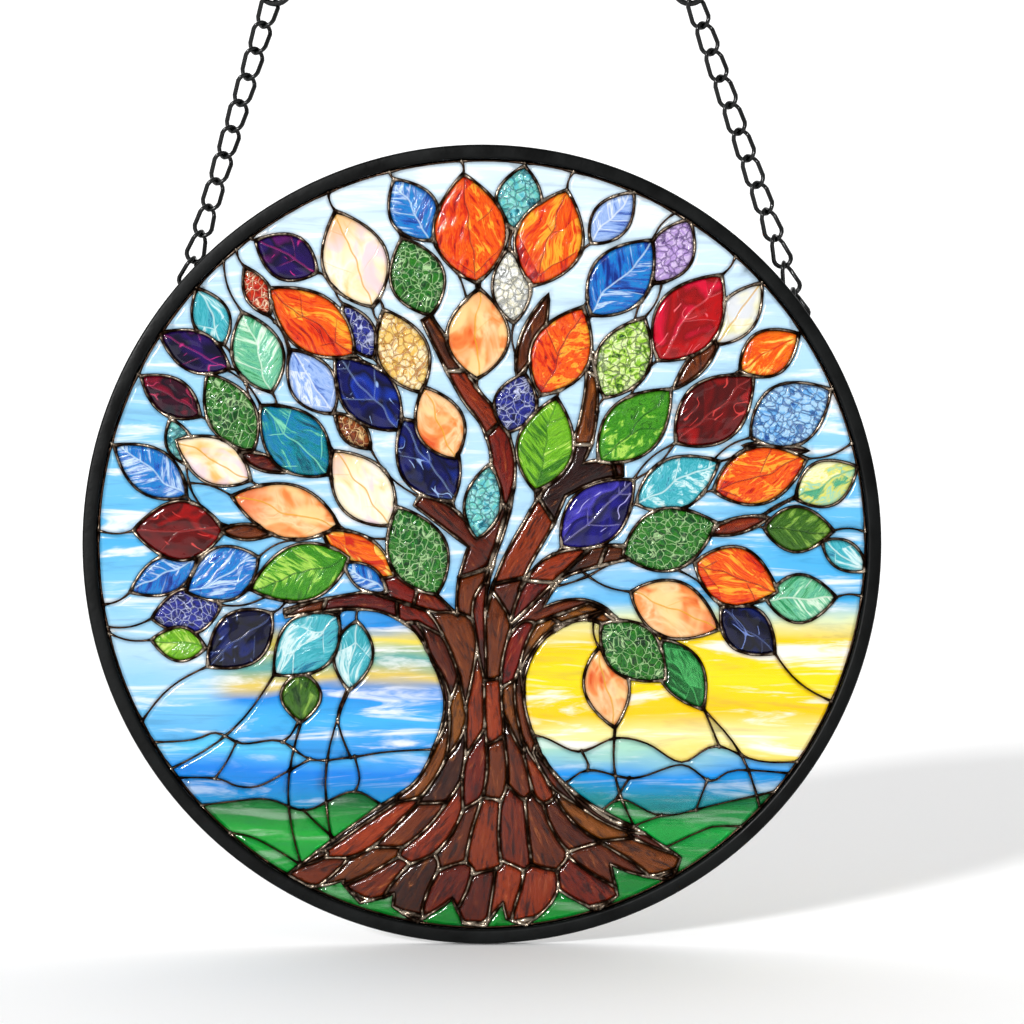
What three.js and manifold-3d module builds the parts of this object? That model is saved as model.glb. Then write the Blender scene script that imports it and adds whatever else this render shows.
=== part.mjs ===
// A round stained glass suncatcher with a tree of life. Pieces of coloured glass lie in a lattice of
// lead, a black rim with a groove holds the lattice, and two chains hang the rim from end rings.
// Millimetres, +Z up. The front faces -Y, and the origin lies midway between the two points where
// the end rings bear on their hooks.

import * as THREE from "three";
import { mergeVertices } from "three/addons/utils/BufferGeometryUtils.js";
import loadManifold from "manifold-3d";

const kernel = await loadManifold();
kernel.setup();

// Panel and rim
const PANEL_RADIUS = 150; // outside of the rim
const PANEL_DROP = 215; // from the hooks down to the middle of the panel
const RIM_FACE = 5.3; // width of the rim seen from the front
const RIM_DEPTH = 7;
const RIM_GROOVE = 2.3; // how far the groove goes into the rim
const RIM_SIDES = 44;
const GLASS_THICKNESS = 3;
const LEAD_WIDTH = 1.6; // lead between two pieces of glass
const LEAD_DEPTH = 4.6; // the lead stands proud of the glass on both faces
const LEAD_BORDER = 1.6; // lead seen between the glass and the rim
const GAP = 0.2; // clearance of each piece of glass in the lattice
const SEAT_GAP = 0.4; // clearance of the lattice in the rim

// Chains, loops and rings
const WIRE = 1.8; // thickness of the wire of chains and loops
const LINK_WIDTH = 8.4;
const LINK_PITCH = 10.7;
const LINK_BITE = 0.2; // how far touching links run into each other
const PLAY = 0.45; // clearance of an end link in its loop or ring
const TWIST_LINKS = 4; // links over which a chain turns an eighth of a turn
const LOOP_HALF_SPAN = 2.9;
const LOOP_RADIUS = 148; // the loops stand on the back of the rim
const LEFT_LOOP_ANGLE = 139.5; // degrees round the panel from its right side
const RIGHT_LOOP_ANGLE = 34.7;
const RING_RADIUS = 6;
const RING_WIRE = 2.2;
const HOOK_OFFSET = 77; // each hook stands this far from the middle

// Leaves
const LEAF_SIDE_POINTS = 3;
const LEAF_FULLNESS = 0.92; // below 1 the widest place lies nearer to the stem
const SMALLEST_PIECE = 90; // square millimetres; lesser slivers of background stay lead

// One leaf each: its glass, stem end and tip (right of and above the panel's middle), and width.
// A leaf lies over those before it where they meet.
const LEAVES = [
  ["cream", -41, 89, -55, 125, 23],
  ["flame", -48, 71, -80, 96, 20],
  ["mint", -79, 57, -90, 87, 18],
  ["violet", -95, 66, -121, 79, 14],
  ["green_crackle", -86, 35, -103, 64, 17],
  ["teal", -58, 26, -83, 52, 21],
  ["cobalt", -31, 43, -55, 70, 19],
  ["gold_crackle", -23, 57, -37, 88, 18],
  ["cream", -34, 7, -56, 35, 20],
  ["azure", -111, 18, -138, 37, 16],
  ["cream", -87, 24, -115, 39, 16],
  ["peach", -54, 7, -94, 18, 19],
  ["ruby", -97, 5, -131, 5, 21],
  ["azure", -84, -5, -111, -18, 19],
  ["green", -50, -5, -87, -17, 20],
  ["cobalt", -79, -26, -103, -46, 19],
  ["aqua", -54, -27, -78, -49, 20],
  ["green_crackle", -17, -19, -32, 14, 21],
  ["cobalt", -11, 16, -30, 47, 21],
  ["peach", -10, 32, -22, 59, 17],
  ["green_crackle", -19, 86, -30, 115, 19],
  ["flame", -2, 98, -7, 139, 26],
  ["flame", 19, 97, 32, 133, 24],
  ["peach", -2, 62, -1, 96, 22],
  ["azure", 41, 86, 64, 114, 21],
  ["flame", 22, 56, 38, 89, 21],
  ["green", 20, 20, 28, 55, 20],
  ["green_crackle", 46, 55, 61, 85, 19],
  ["ruby", 66, 69, 90, 101, 23],
  ["green", 44, 31, 71, 58, 20],
  ["ruby", 73, 38, 102, 63, 22],
  ["azure_crackle", 101, 40, 131, 58, 22],
  ["cobalt", 30, -1, 57, 24, 20],
  ["aqua", 58, 15, 89, 31, 18],
  ["green_crackle", 53, -4, 88, 8, 22],
  ["flame", 87, 20, 122, 32, 20],
  ["green", 106, 6, 132, 5, 16],
  ["flame", 80, -7, 111, -18, 21],
  ["peach", 56, -18, 89, -32, 20],
  ["green_crackle", 45, -30, 69, -51, 19],
];

// Strands of bark from root to branch: right of and above the panel's middle, and width.
const STRANDS = [
  // far left root, left edge of the trunk, low left limb
  [[-72, -127, 6], [-54, -119, 15], [-36, -106, 15], [-21, -93, 11], [-13, -76, 9], [-10, -59, 8],
    [-14, -42, 10], [-22, -29, 10], [-36, -22, 8], [-53, -22, 5], [-74, -26, 3]],
  // left root and the limb above it
  [[-49, -131, 10], [-37, -121, 22], [-22, -108, 15], [-11, -93, 11], [-7, -76, 9], [-6, -59, 8],
    [-8, -42, 12], [-16, -29, 13], [-29, -17, 10], [-43, -9, 6]],
  // the tall limb left of the middle
  [[-29, -139, 11], [-20, -125, 24], [-10, -109, 14], [-4, -92, 11], [-1, -76, 9], [-1, -59, 8],
    [-2, -42, 10], [-4, -21, 11], [-1, -6, 11], [5, 11, 10], [8, 30, 9], [4, 45, 8], [-5, 57, 7],
    [-14, 73, 6], [-21, 85, 4]],
  // the limb right of the middle
  [[-3, -143, 8], [-1, -127, 24], [2, -108, 15], [5, -92, 11], [5, -76, 9], [4, -59, 8], [5, -44, 9],
    [7, -25, 10], [12, -9, 10], [22, 9, 10], [29, 22, 8], [38, 39, 7], [41, 56, 5], [41, 72, 3]],
  // the right limb
  [[13, -142, 8], [17, -127, 24], [14, -109, 14], [13, -92, 11], [11, -76, 9], [9, -59, 8], [10, -42, 9],
    [17, -24, 11], [26, -10, 10], [41, -5, 8], [56, -3, 5]],
  // right root and the low right limb
  [[47, -135, 10], [36, -120, 24], [27, -104, 14], [22, -91, 11], [16, -76, 9], [12, -60, 8], [13, -46, 8],
    [19, -33, 10], [30, -26, 9], [41, -25, 7], [50, -30, 4]],
  // far right root
  [[73, -122, 9], [56, -115, 16], [38, -104, 14], [26, -90, 7], [19, -78, 4]],
  // the arm from the right limb into the crown
  [[28, 20, 7], [41, 27, 8], [53, 28, 5]],
  // the arm from the tall limb to the left
  [[-3, 1, 6], [-13, 10, 8], [-24, 17, 6]],
];

// Two lead lines across the landscape, cut by the trunk: the far shore and the edge of the meadow.
const WATER_LINE = [[-150, -75], [-112, -74], [-100, -71], [-90, -75], [-76, -74], [-64, -81], [-48, -80],
  [-34, -78], [0, -76], [20, -72], [36, -78], [50, -73], [62, -75], [75, -82], [88, -76], [108, -82], [150, -79]];
const MEADOW_LINE = [[-150, -104], [-96, -97], [-80, -96], [-66, -100], [-48, -93], [-32, -100], [0, -102],
  [38, -103], [52, -96], [68, -102], [92, -97], [150, -84]];

// Short lead lines that tie a leaf standing alone to the rim or to its neighbour: from, to.
const STAYS = [
  [[-55, 124], [-58, 140]], [[32, 132], [36, 146]], [[130, 5], [148, 4]], [[67, 68], [81, 59]],
  [[-97, 66], [-88, 70]], [[-87, 25], [-86, 17]], [[-73, -26], [-83, -28]],
];

// Each glass: colour and gloss
const GLASS_COLOURS = {
  cream: 0xfae6c4,
  peach: 0xf6b982,
  flame: 0xe85c20,
  ruby: 0x9c1018,
  violet: 0x3c2a86,
  cobalt: 0x162058,
  azure: 0x5c9cd8,
  azure_crackle: 0x6aa4cc,
  aqua: 0x7cc8cc,
  teal: 0x1c8c98,
  mint: 0x6ec0a0,
  green: 0x5c9c28,
  green_crackle: 0x2c7c40,
  gold_crackle: 0xcfa050,
  bark: 0x6e2a14,
  sky: 0x9cd4f2,
  water: 0x3c9cdc,
  meadow: 0x0e7a40,
};
const GLASS_ROUGHNESS = 0.15;

// Solids and meshes

function toSolid(geometry) {
  const bare = new THREE.BufferGeometry();
  bare.setAttribute("position", geometry.getAttribute("position"));
  bare.setIndex(geometry.index);
  const welded = mergeVertices(bare, 1e-4);
  return new kernel.Manifold(new kernel.Mesh({
    numProp: 3,
    vertProperties: Float32Array.from(welded.getAttribute("position").array),
    triVerts: Uint32Array.from(welded.index.array),
  }));
}

function toGeometry(solid) {
  const { vertProperties, triVerts } = solid.getMesh();
  const geometry = new THREE.BufferGeometry();
  geometry.setAttribute("position", new THREE.BufferAttribute(vertProperties, 3));
  geometry.setIndex(new THREE.BufferAttribute(triVerts, 1));
  geometry.computeVertexNormals();
  return geometry;
}

function namedMesh(name, geometry, color, roughness, metalness) {
  const material = new THREE.MeshStandardMaterial({ color, roughness, metalness });
  const mesh = new THREE.Mesh(geometry, material);
  mesh.name = name;
  return mesh;
}

const glassMesh = (name, solid, glass) =>
  namedMesh(name, toGeometry(solid), GLASS_COLOURS[glass], GLASS_ROUGHNESS, 0);
const metalMesh = (name, geometry) => namedMesh(name, geometry, 0x0c0c0d, 0.35, 0.8);
const joined = (solids) => kernel.Manifold.union(solids);

// Outlines on the panel, as closed rings of points

function grown(outline, margin) {
  const turn = THREE.ShapeUtils.area(outline) > 0 ? 1 : -1;
  const outward = (from, to) => new THREE.Vector2(to.y - from.y, from.x - to.x).normalize().multiplyScalar(turn);
  return outline.map((corner, index) => {
    const before = outward(outline.at(index - 1), corner);
    const after = outward(corner, outline[(index + 1) % outline.length]);
    const slide = margin / (1 + before.dot(after));
    return corner.clone().addScaledVector(before, slide).addScaledVector(after, slide);
  });
}

function leafOutline([, stemX, stemY, tipX, tipY, width]) {
  const stem = new THREE.Vector2(stemX, stemY);
  const axis = new THREE.Vector2(tipX, tipY).sub(stem);
  const across = new THREE.Vector2(-axis.y, axis.x).normalize();
  const edgePoint = (along, side) => {
    const halfWidth = (width / 2) * Math.sin(Math.PI * along ** LEAF_FULLNESS);
    return stem.clone().addScaledVector(axis, along).addScaledVector(across, side * halfWidth);
  };
  const steps = Array.from({ length: LEAF_SIDE_POINTS }, (_, index) => (index + 1) / (LEAF_SIDE_POINTS + 1));
  const rightEdge = steps.map((along) => edgePoint(along, -1));
  const leftEdge = steps.map((along) => edgePoint(along, 1)).reverse();
  return [stem, ...rightEdge, edgePoint(1, 0), ...leftEdge];
}

function strandOutline(stations) {
  const centres = stations.map(([x, y]) => new THREE.Vector2(x, y));
  const edge = (side) => stations.map(([, , width], index) => {
    const from = centres[Math.max(index - 1, 0)];
    const to = centres[Math.min(index + 1, centres.length - 1)];
    const across = new THREE.Vector2(from.y - to.y, to.x - from.x).normalize();
    return centres[index].clone().addScaledVector(across, (side * width) / 2);
  });
  return [...edge(-1), ...edge(1).reverse()];
}

function circleOutline(radius) {
  const circle = new THREE.EllipseCurve(0, 0, radius, radius);
  return circle.getPoints(RIM_SIDES).slice(0, RIM_SIDES);
}

// The strip of panel below one line and above another, with a margin kept to both.
function bandOutline(upperLine, lowerLine, margin) {
  const upper = upperLine.map(([x, y]) => new THREE.Vector2(x, y - margin));
  const lower = lowerLine.map(([x, y]) => new THREE.Vector2(x, y + margin));
  return [...lower, ...upper.reverse()];
}

function prism(outline, depth) {
  const geometry = new THREE.ExtrudeGeometry(new THREE.Shape(outline), { depth, steps: 1, bevelEnabled: false });
  geometry.translate(0, 0, -depth / 2);
  return toSolid(geometry);
}

// Glass. Every piece is worked out with a slack: none for the glass, and GAP for its place in the lattice.

const rimInside = PANEL_RADIUS - RIM_FACE;
const latticeRadius = rimInside - SEAT_GAP;
const glassRadius = latticeRadius - LEAD_BORDER;
const leafOutlines = LEAVES.map(leafOutline);
const strandOutlines = STRANDS.map(strandOutline);
const stayOutlines = STAYS.map((ends) => strandOutline(ends.map(([x, y]) => [x, y, LEAD_WIDTH])));
const PANEL_TOP = [[-PANEL_RADIUS, PANEL_RADIUS], [PANEL_RADIUS, PANEL_RADIUS]];
const PANEL_FOOT = [[-PANEL_RADIUS, -PANEL_RADIUS], [PANEL_RADIUS, -PANEL_RADIUS]];

const outlineSolids = (outlines, margin, depth) => outlines.map((outline) => prism(grown(outline, margin), depth));
const crownSolid = (margin, depth) => joined(outlineSolids(leafOutlines, margin, depth));
const treeSolid = (margin, depth) => joined(outlineSolids(strandOutlines, margin, depth));
const staySolid = (slack, depth) => joined(outlineSolids(stayOutlines, -slack, depth));
const discSolid = (radius, depth) => prism(circleOutline(radius), depth);

function leafPiece(index, slack, depth) {
  const leaf = prism(grown(leafOutlines[index], slack), depth);
  const leavesOver = outlineSolids(leafOutlines.slice(index + 1), LEAD_WIDTH - slack, depth);
  return leavesOver.length ? leaf.subtract(joined(leavesOver)) : leaf;
}

function treePiece(slack, depth) {
  const tree = treeSolid(slack, depth).intersect(discSolid(glassRadius + slack, depth));
  return tree.subtract(crownSolid(LEAD_WIDTH - slack, depth));
}

function backgroundPiece(upperLine, lowerLine, slack, depth) {
  const band = prism(bandOutline(upperLine, lowerLine, LEAD_WIDTH / 2 - slack), depth);
  const inRim = band.intersect(discSolid(glassRadius + slack, depth));
  const margin = LEAD_WIDTH - slack;
  return inRim.subtract(joined([treeSolid(margin, depth), crownSolid(margin, depth), staySolid(slack, depth)]));
}

const regions = {
  bark: (slack, depth) => treePiece(slack, depth),
  sky: (slack, depth) => backgroundPiece(PANEL_TOP, WATER_LINE, slack, depth),
  water: (slack, depth) => backgroundPiece(WATER_LINE, MEADOW_LINE, slack, depth),
  meadow: (slack, depth) => backgroundPiece(MEADOW_LINE, PANEL_FOOT, slack, depth),
};

function regionPieces(region) {
  const bodies = region(0, GLASS_THICKNESS).decompose();
  const pieces = bodies.filter((body) => body.volume() > SMALLEST_PIECE * GLASS_THICKNESS);
  return pieces.sort((one, other) => other.volume() - one.volume());
}

// The openings of the lattice that take a region's pieces.
function regionPlaces(region, depth) {
  const pieces = joined(regionPieces(region));
  return region(GAP, depth).decompose().filter((place) => !place.intersect(pieces).isEmpty());
}

function glassMeshes() {
  const meshes = [];
  const count = {};
  const add = (glass, label, solid) => {
    count[glass] = (count[glass] ?? 0) + 1;
    meshes.push(glassMesh(`${glass}_${label}_${count[glass]}`, solid, glass));
  };
  LEAVES.forEach(([glass], index) => add(glass, "leaf", leafPiece(index, 0, GLASS_THICKNESS)));
  for (const [glass, region] of Object.entries(regions)) {
    regionPieces(region).forEach((piece) => add(glass, "glass", piece));
  }
  return meshes;
}

// Lattice and rim

function latticeSolid() {
  const seated = discSolid(rimInside + RIM_GROOVE - SEAT_GAP, GLASS_THICKNESS);
  const plate = discSolid(latticeRadius, LEAD_DEPTH).add(seated);
  const deep = LEAD_DEPTH * 2;
  const leafPlaces = LEAVES.map((_, index) => leafPiece(index, GAP, deep));
  const otherPlaces = Object.values(regions).flatMap((region) => regionPlaces(region, deep));
  return plate.subtract(joined([...leafPlaces, ...otherPlaces]));
}

function rimGeometry() {
  const face = RIM_DEPTH / 2;
  const groove = GLASS_THICKNESS / 2 + SEAT_GAP;
  const grooveRadius = rimInside + RIM_GROOVE;
  const profile = [
    [PANEL_RADIUS, -face], [PANEL_RADIUS, face], [rimInside, face], [rimInside, groove], [grooveRadius, groove],
    [grooveRadius, -groove], [rimInside, -groove], [rimInside, -face], [PANEL_RADIUS, -face],
  ].map(([radius, height]) => new THREE.Vector2(radius, height));
  return new THREE.LatheGeometry(profile, RIM_SIDES).rotateX(Math.PI / 2);
}

// Loops, chains and rings. The chains hang in the plane of the hooks, close behind the rim.

const panelForward = RIM_DEPTH / 2 + PLAY + WIRE / 2;
const loopReach = PLAY + WIRE + PLAY + WIRE / 2;

// A wire arch with its feet along Y that rises along X.
function loopGeometry() {
  const shape = [[0, -1], [0.4, -1], [0.85, -0.7], [1, 0], [0.85, 0.7], [0.4, 1], [0, 1]];
  const points = shape.map(([rise, along]) => new THREE.Vector3(rise * loopReach, along * LOOP_HALF_SPAN, 0));
  const section = new THREE.EllipseCurve(0, 0, WIRE / 2, WIRE / 2).getPoints(5);
  return new THREE.ExtrudeGeometry(new THREE.Shape(section), {
    steps: 8,
    extrudePath: new THREE.CatmullRomCurve3(points),
  });
}

// A link is a ring drawn out along Y.
function linkGeometry(halfLength) {
  const bendRadius = (LINK_WIDTH - WIRE) / 2;
  const link = new THREE.TorusGeometry(bendRadius, WIRE / 2, 4, 6).rotateZ(Math.PI / 6);
  const place = link.getAttribute("position");
  for (let index = 0; index < place.count; index += 1) {
    const stretch = Math.sign(place.getY(index)) * (halfLength - bendRadius);
    place.setY(index, place.getY(index) + stretch);
  }
  return link;
}

// A taut chain between two points, with its first link flat behind the panel.
function chainGeometry(start, end) {
  const run = start.distanceTo(end);
  const axis = end.clone().sub(start).normalize();
  const front = new THREE.Vector3(0, -1, 0);
  const side = new THREE.Vector3().crossVectors(axis, front);
  const links = Math.round(run / LINK_PITCH);
  const overlap = 2 * WIRE - LINK_BITE;
  const linkLength = (run + (links - 1) * overlap) / links;
  const solids = Array.from({ length: links }, (_, index) => {
    const twist = (Math.min(index / TWIST_LINKS, 1) * Math.PI) / 4;
    const link = linkGeometry((linkLength - WIRE) / 2).rotateY((index * Math.PI) / 2 + twist);
    const along = linkLength / 2 + index * (linkLength - overlap);
    const place = new THREE.Matrix4().makeBasis(side, axis, front);
    place.setPosition(start.clone().addScaledVector(axis, along));
    return toSolid(link.applyMatrix4(place));
  });
  return toGeometry(joined(solids));
}

// One hanger: a loop on the back of the rim, a chain and an end ring.
function hangerMeshes(side, loopDegrees, hookX) {
  const angle = THREE.MathUtils.degToRad(loopDegrees);
  const loopPlace = new THREE.Vector3(Math.cos(angle), 0, Math.sin(angle)).multiplyScalar(LOOP_RADIUS);
  loopPlace.z -= PANEL_DROP;
  const hook = new THREE.Vector3(hookX, 0, 0);
  const axis = hook.clone().sub(loopPlace).normalize();
  const back = new THREE.Vector3(0, 1, 0);

  const loop = metalMesh(`${side}_loop`, loopGeometry());
  const turn = new THREE.Matrix4().makeBasis(back, axis, new THREE.Vector3().crossVectors(back, axis));
  loop.quaternion.setFromRotationMatrix(turn);
  loop.position.copy(loopPlace).addScaledVector(back, RIM_DEPTH / 2 - panelForward);

  const ring = metalMesh(`${side}_ring`, new THREE.TorusGeometry(RING_RADIUS, RING_WIRE / 2, 5, 12));
  ring.rotation.x = Math.PI / 2;
  ring.position.copy(hook).addScaledVector(axis, RING_WIRE / 2 - RING_RADIUS);

  const start = loopPlace.clone().addScaledVector(axis, LOOP_HALF_SPAN - WIRE / 2 - PLAY - WIRE);
  const end = ring.position.clone().addScaledVector(axis, -RING_RADIUS + RING_WIRE / 2 + PLAY + WIRE);
  return [loop, metalMesh(`${side}_chain`, chainGeometry(start, end)), ring];
}

// Assembly

const panel = new THREE.Group();
panel.rotation.x = Math.PI / 2;
panel.position.set(0, -panelForward, -PANEL_DROP);
panel.add(...glassMeshes());
panel.add(namedMesh("leading", toGeometry(latticeSolid()), 0x2a241f, 0.5, 0.7));
panel.add(metalMesh("rim", rimGeometry()));

const suncatcher = new THREE.Group();
suncatcher.add(panel);
suncatcher.add(...hangerMeshes("left", LEFT_LOOP_ANGLE, -HOOK_OFFSET));
suncatcher.add(...hangerMeshes("right", RIGHT_LOOP_ANGLE, HOOK_OFFSET));

export default suncatcher;
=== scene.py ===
# %% [markdown]
# # A stained glass suncatcher
# A round panel hangs on two chains. Some 270 pieces of coloured glass make the picture of a tree, and a
# lattice of lead holds them inside a black rim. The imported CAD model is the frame: it says where the rim,
# the glass, the chains and the rings are, and every piece below is made to sit in those places.

import math
import random
from collections import Counter, namedtuple

import bmesh
import bpy
from mathutils import Matrix, Vector
from mathutils.bvhtree import BVHTree
from mathutils.geometry import delaunay_2d_cdt, intersect_line_line_2d


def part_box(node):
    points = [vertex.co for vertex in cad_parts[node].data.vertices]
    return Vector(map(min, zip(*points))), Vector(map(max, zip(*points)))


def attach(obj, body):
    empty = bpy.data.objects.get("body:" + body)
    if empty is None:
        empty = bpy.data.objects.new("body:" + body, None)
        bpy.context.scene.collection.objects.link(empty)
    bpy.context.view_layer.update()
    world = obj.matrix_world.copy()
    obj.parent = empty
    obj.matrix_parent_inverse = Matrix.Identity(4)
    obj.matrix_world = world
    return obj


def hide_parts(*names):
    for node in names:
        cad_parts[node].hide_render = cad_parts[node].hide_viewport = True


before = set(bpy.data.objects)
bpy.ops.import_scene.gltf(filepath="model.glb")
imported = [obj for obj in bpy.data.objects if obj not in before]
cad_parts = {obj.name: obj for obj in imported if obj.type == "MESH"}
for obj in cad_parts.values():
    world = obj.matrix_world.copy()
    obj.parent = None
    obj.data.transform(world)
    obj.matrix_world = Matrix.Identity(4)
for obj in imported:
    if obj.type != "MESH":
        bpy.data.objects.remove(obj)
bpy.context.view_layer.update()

# %% [markdown]
# The picture is drawn in millimetres to the right of and above the middle of the panel, as a glazier draws
# a cartoon at full size. Only the rim, the lead and the glass of the frame are measured for that.

# %% Measure the panel
MM = 0.001
rim_low, rim_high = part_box("rim")
lead_low, lead_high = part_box("leading")
glass_low, glass_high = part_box("cream_leaf_1")
middle = (rim_low + rim_high) / 2
rim_radius = (rim_high.x - rim_low.x) / 2 / MM
rim_depth = (rim_high.y - rim_low.y) / MM
glass_depth = (glass_high.y - glass_low.y) / MM
lead_depth = (lead_high.y - lead_low.y) / MM
to_panel = Matrix.Translation(middle) @ Matrix.Scale(MM, 4) @ Matrix.Rotation(math.pi / 2, 4, "X")
print(f"rim {rim_radius:.1f} mm in radius and {rim_depth:.1f} mm deep")
print(f"glass {glass_depth:.1f} mm and lead {lead_depth:.1f} mm deep")

# %% [markdown]
# The photograph looks straight at the panel. A long lens keeps the rim a circle, and the camera stands a
# little to the right of and above the panel's middle, which puts the panel low and left in the picture.

# %% Set up the camera
PICTURE_WIDTH = 385.4
LOOK_AT = Vector((11.3, 12.0, 0))
FOCAL_LENGTH, SENSOR_WIDTH = 85, 36
lens = bpy.data.cameras.new("camera")
lens.lens = FOCAL_LENGTH
lens.sensor_width = SENSOR_WIDTH
camera = bpy.data.objects.new("camera", lens)
bpy.context.scene.collection.objects.link(camera)
camera_distance = PICTURE_WIDTH * FOCAL_LENGTH / SENSOR_WIDTH
camera.location = to_panel @ (LOOK_AT + Vector((0, 0, camera_distance)))
camera.rotation_euler = (math.pi / 2, 0, 0)
bpy.context.scene.camera = camera
print(f"the camera stands {camera_distance:.0f} mm in front of the panel")

# %% [markdown]
# On the panel every leaf is a piece of glass of its own. Leaves could be drawn corner by corner, but all
# are lens shapes between a stem and a tip, so one formula serves. A row gives a leaf's kind of glass, stem,
# tip and width. Some kinds share a material slot. A large leaf stands for the CAD node that is named after
# its slot and its number in that slot. The solids leave out the small leaves. A later leaf lies over the
# earlier ones, so the small ones come first.

# %% List the leaves
SMALL_LEAVES = [
    ("violet", -62, 102, -85, 114, 16), ("ember_crackle", -80, 86, -89, 104, 9),
    ("aqua", -97, 75, -107, 96, 13), ("garnet", -106, 48, -128, 63, 13),
    ("periwinkle", -56, 49, -72, 73, 16), ("indigo_crackle", -41, 70, -52, 90, 11),
    ("amber_crackle", -42, 36, -55, 49, 8.5), ("aqua_crackle", -111, 30, -117, 47, 9),
    ("azure", -107, -6, -132, -18, 13), ("indigo_crackle", -98, -23, -124, -28, 16),
    ("lime", -104, -39, -124, -36, 12), ("aqua", -47, -29, -50, -55, 14),
    ("olive", -68, -48, -68, -67, 14), ("honey", -33, -12, -60, 5, 13),
    ("azure", -36, -18, -52, -7, 8.5), ("aqua_crackle", -2, 2, 3, 30, 13),
    ("azure", -19, 114, -33, 137, 17), ("aqua_crackle", 12, 118, 16, 142, 16),
    ("white_crackle", 12, 83, 10, 111, 13.5), ("periwinkle", 41, 113, 57, 132, 13),
    ("lilac_crackle", 65, 98, 78, 122, 15.5), ("indigo_crackle", 9.5, 42, 16, 64, 15),
    ("white_opal", 88, 75, 105, 98, 13.5), ("honey", 97, 65, 119, 79, 16),
    ("lemon", 118, 17, 141, 29, 16), ("aqua", 128, 1, 145, -10, 10),
    ("navy", 90, -24, 110, -41, 16), ("mint", 107, -21, 133, -20, 17),
    ("peach", 44, -39, 50, -69, 16), ("emerald", 68, -36, 83, -62, 15),
]
LARGE_LEAVES = [
    ("cream", -41, 89, -55, 125, 23), ("flame", -48, 71, -80, 96, 20), ("mint", -79, 57, -90, 87, 18),
    ("violet", -95, 66, -121, 79, 14), ("green_crackle", -86, 35, -103, 64, 17),
    ("teal", -58, 26, -83, 52, 21), ("cobalt", -31, 43, -55, 70, 19), ("gold_crackle", -23, 57, -37, 88, 18),
    ("cream", -34, 7, -56, 35, 20), ("azure", -111, 18, -138, 37, 16), ("cream", -87, 24, -115, 39, 16),
    ("peach", -54, 7, -94, 18, 19), ("ruby", -97, 5, -131, 5, 21), ("azure", -84, -5, -111, -18, 19),
    ("grass", -50, -5, -87, -17, 20), ("navy", -79, -26, -103, -46, 19), ("aqua", -54, -27, -78, -49, 20),
    ("green_crackle", -17, -19, -32, 14, 21), ("cobalt", -11, 16, -30, 47, 21),
    ("peach", -10, 32, -22, 59, 17), ("green_crackle", -19, 86, -30, 115, 19),
    ("flame", -2, 98, -7, 139, 26), ("flame", 19, 97, 32, 133, 24), ("peach", -2, 62, -1, 96, 22),
    ("azure", 41, 86, 64, 114, 21), ("flame", 22, 56, 38, 89, 21), ("lime", 20, 20, 28, 55, 20),
    ("lime_crackle", 46, 55, 61, 85, 19), ("scarlet", 66, 69, 90, 101, 23), ("grass", 44, 31, 71, 58, 20),
    ("ruby", 73, 38, 102, 63, 22), ("azure_crackle", 101, 40, 131, 58, 22), ("indigo", 30, -1, 57, 24, 20),
    ("aqua", 58, 15, 89, 31, 18), ("green_crackle", 53, -4, 88, 8, 22), ("flame", 87, 20, 122, 32, 20),
    ("olive", 106, 6, 132, 5, 16), ("flame", 80, -7, 111, -18, 21), ("peach", 56, -18, 89, -32, 20),
    ("green_crackle", 45, -30, 69, -51, 19),
]
SHARED_SLOTS = {
    "cream": ("white_opal", "white_crackle"), "mint": ("lemon",), "flame": ("honey", "ember_crackle"),
    "ruby": ("scarlet",), "violet": ("garnet",), "cobalt": ("navy", "indigo"), "azure": ("periwinkle",),
    "azure_crackle": ("indigo_crackle", "lilac_crackle"), "aqua": ("aqua_crackle",),
    "green": ("lime", "grass", "olive", "emerald"), "green_crackle": ("lime_crackle",),
    "gold_crackle": ("amber_crackle",),
}
slot_of = {kind: slot for slot, kinds in SHARED_SLOTS.items() for kind in kinds}
Leaf = namedtuple("Leaf", "name nodes kind slot stem tip width")
leaves, leaf_count = [], Counter()
for number, (kind, stem_u, stem_v, tip_u, tip_v, width) in enumerate(SMALL_LEAVES + LARGE_LEAVES):
    slot = slot_of.get(kind, kind)
    is_small = number < len(SMALL_LEAVES)
    family = "small" if is_small else slot
    leaf_count[family] += 1
    name = f"{family}_leaf_{leaf_count[family]}"
    nodes = [] if is_small else [name]
    leaves.append(Leaf(name, nodes, kind, slot, Vector((stem_u, stem_v)), Vector((tip_u, tip_v)), width))
print(len(leaves), "leaves,", len(LARGE_LEAVES), "of them CAD nodes")

# %% [markdown]
# The tree is made of strands that run from a root through the trunk into a limb, as the solids have it. One
# outline of the whole tree would need hundreds of corners, while a strand needs a dozen stations, each a
# place and a width. Twigs are slim lens shapes that only carry leaves.

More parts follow.
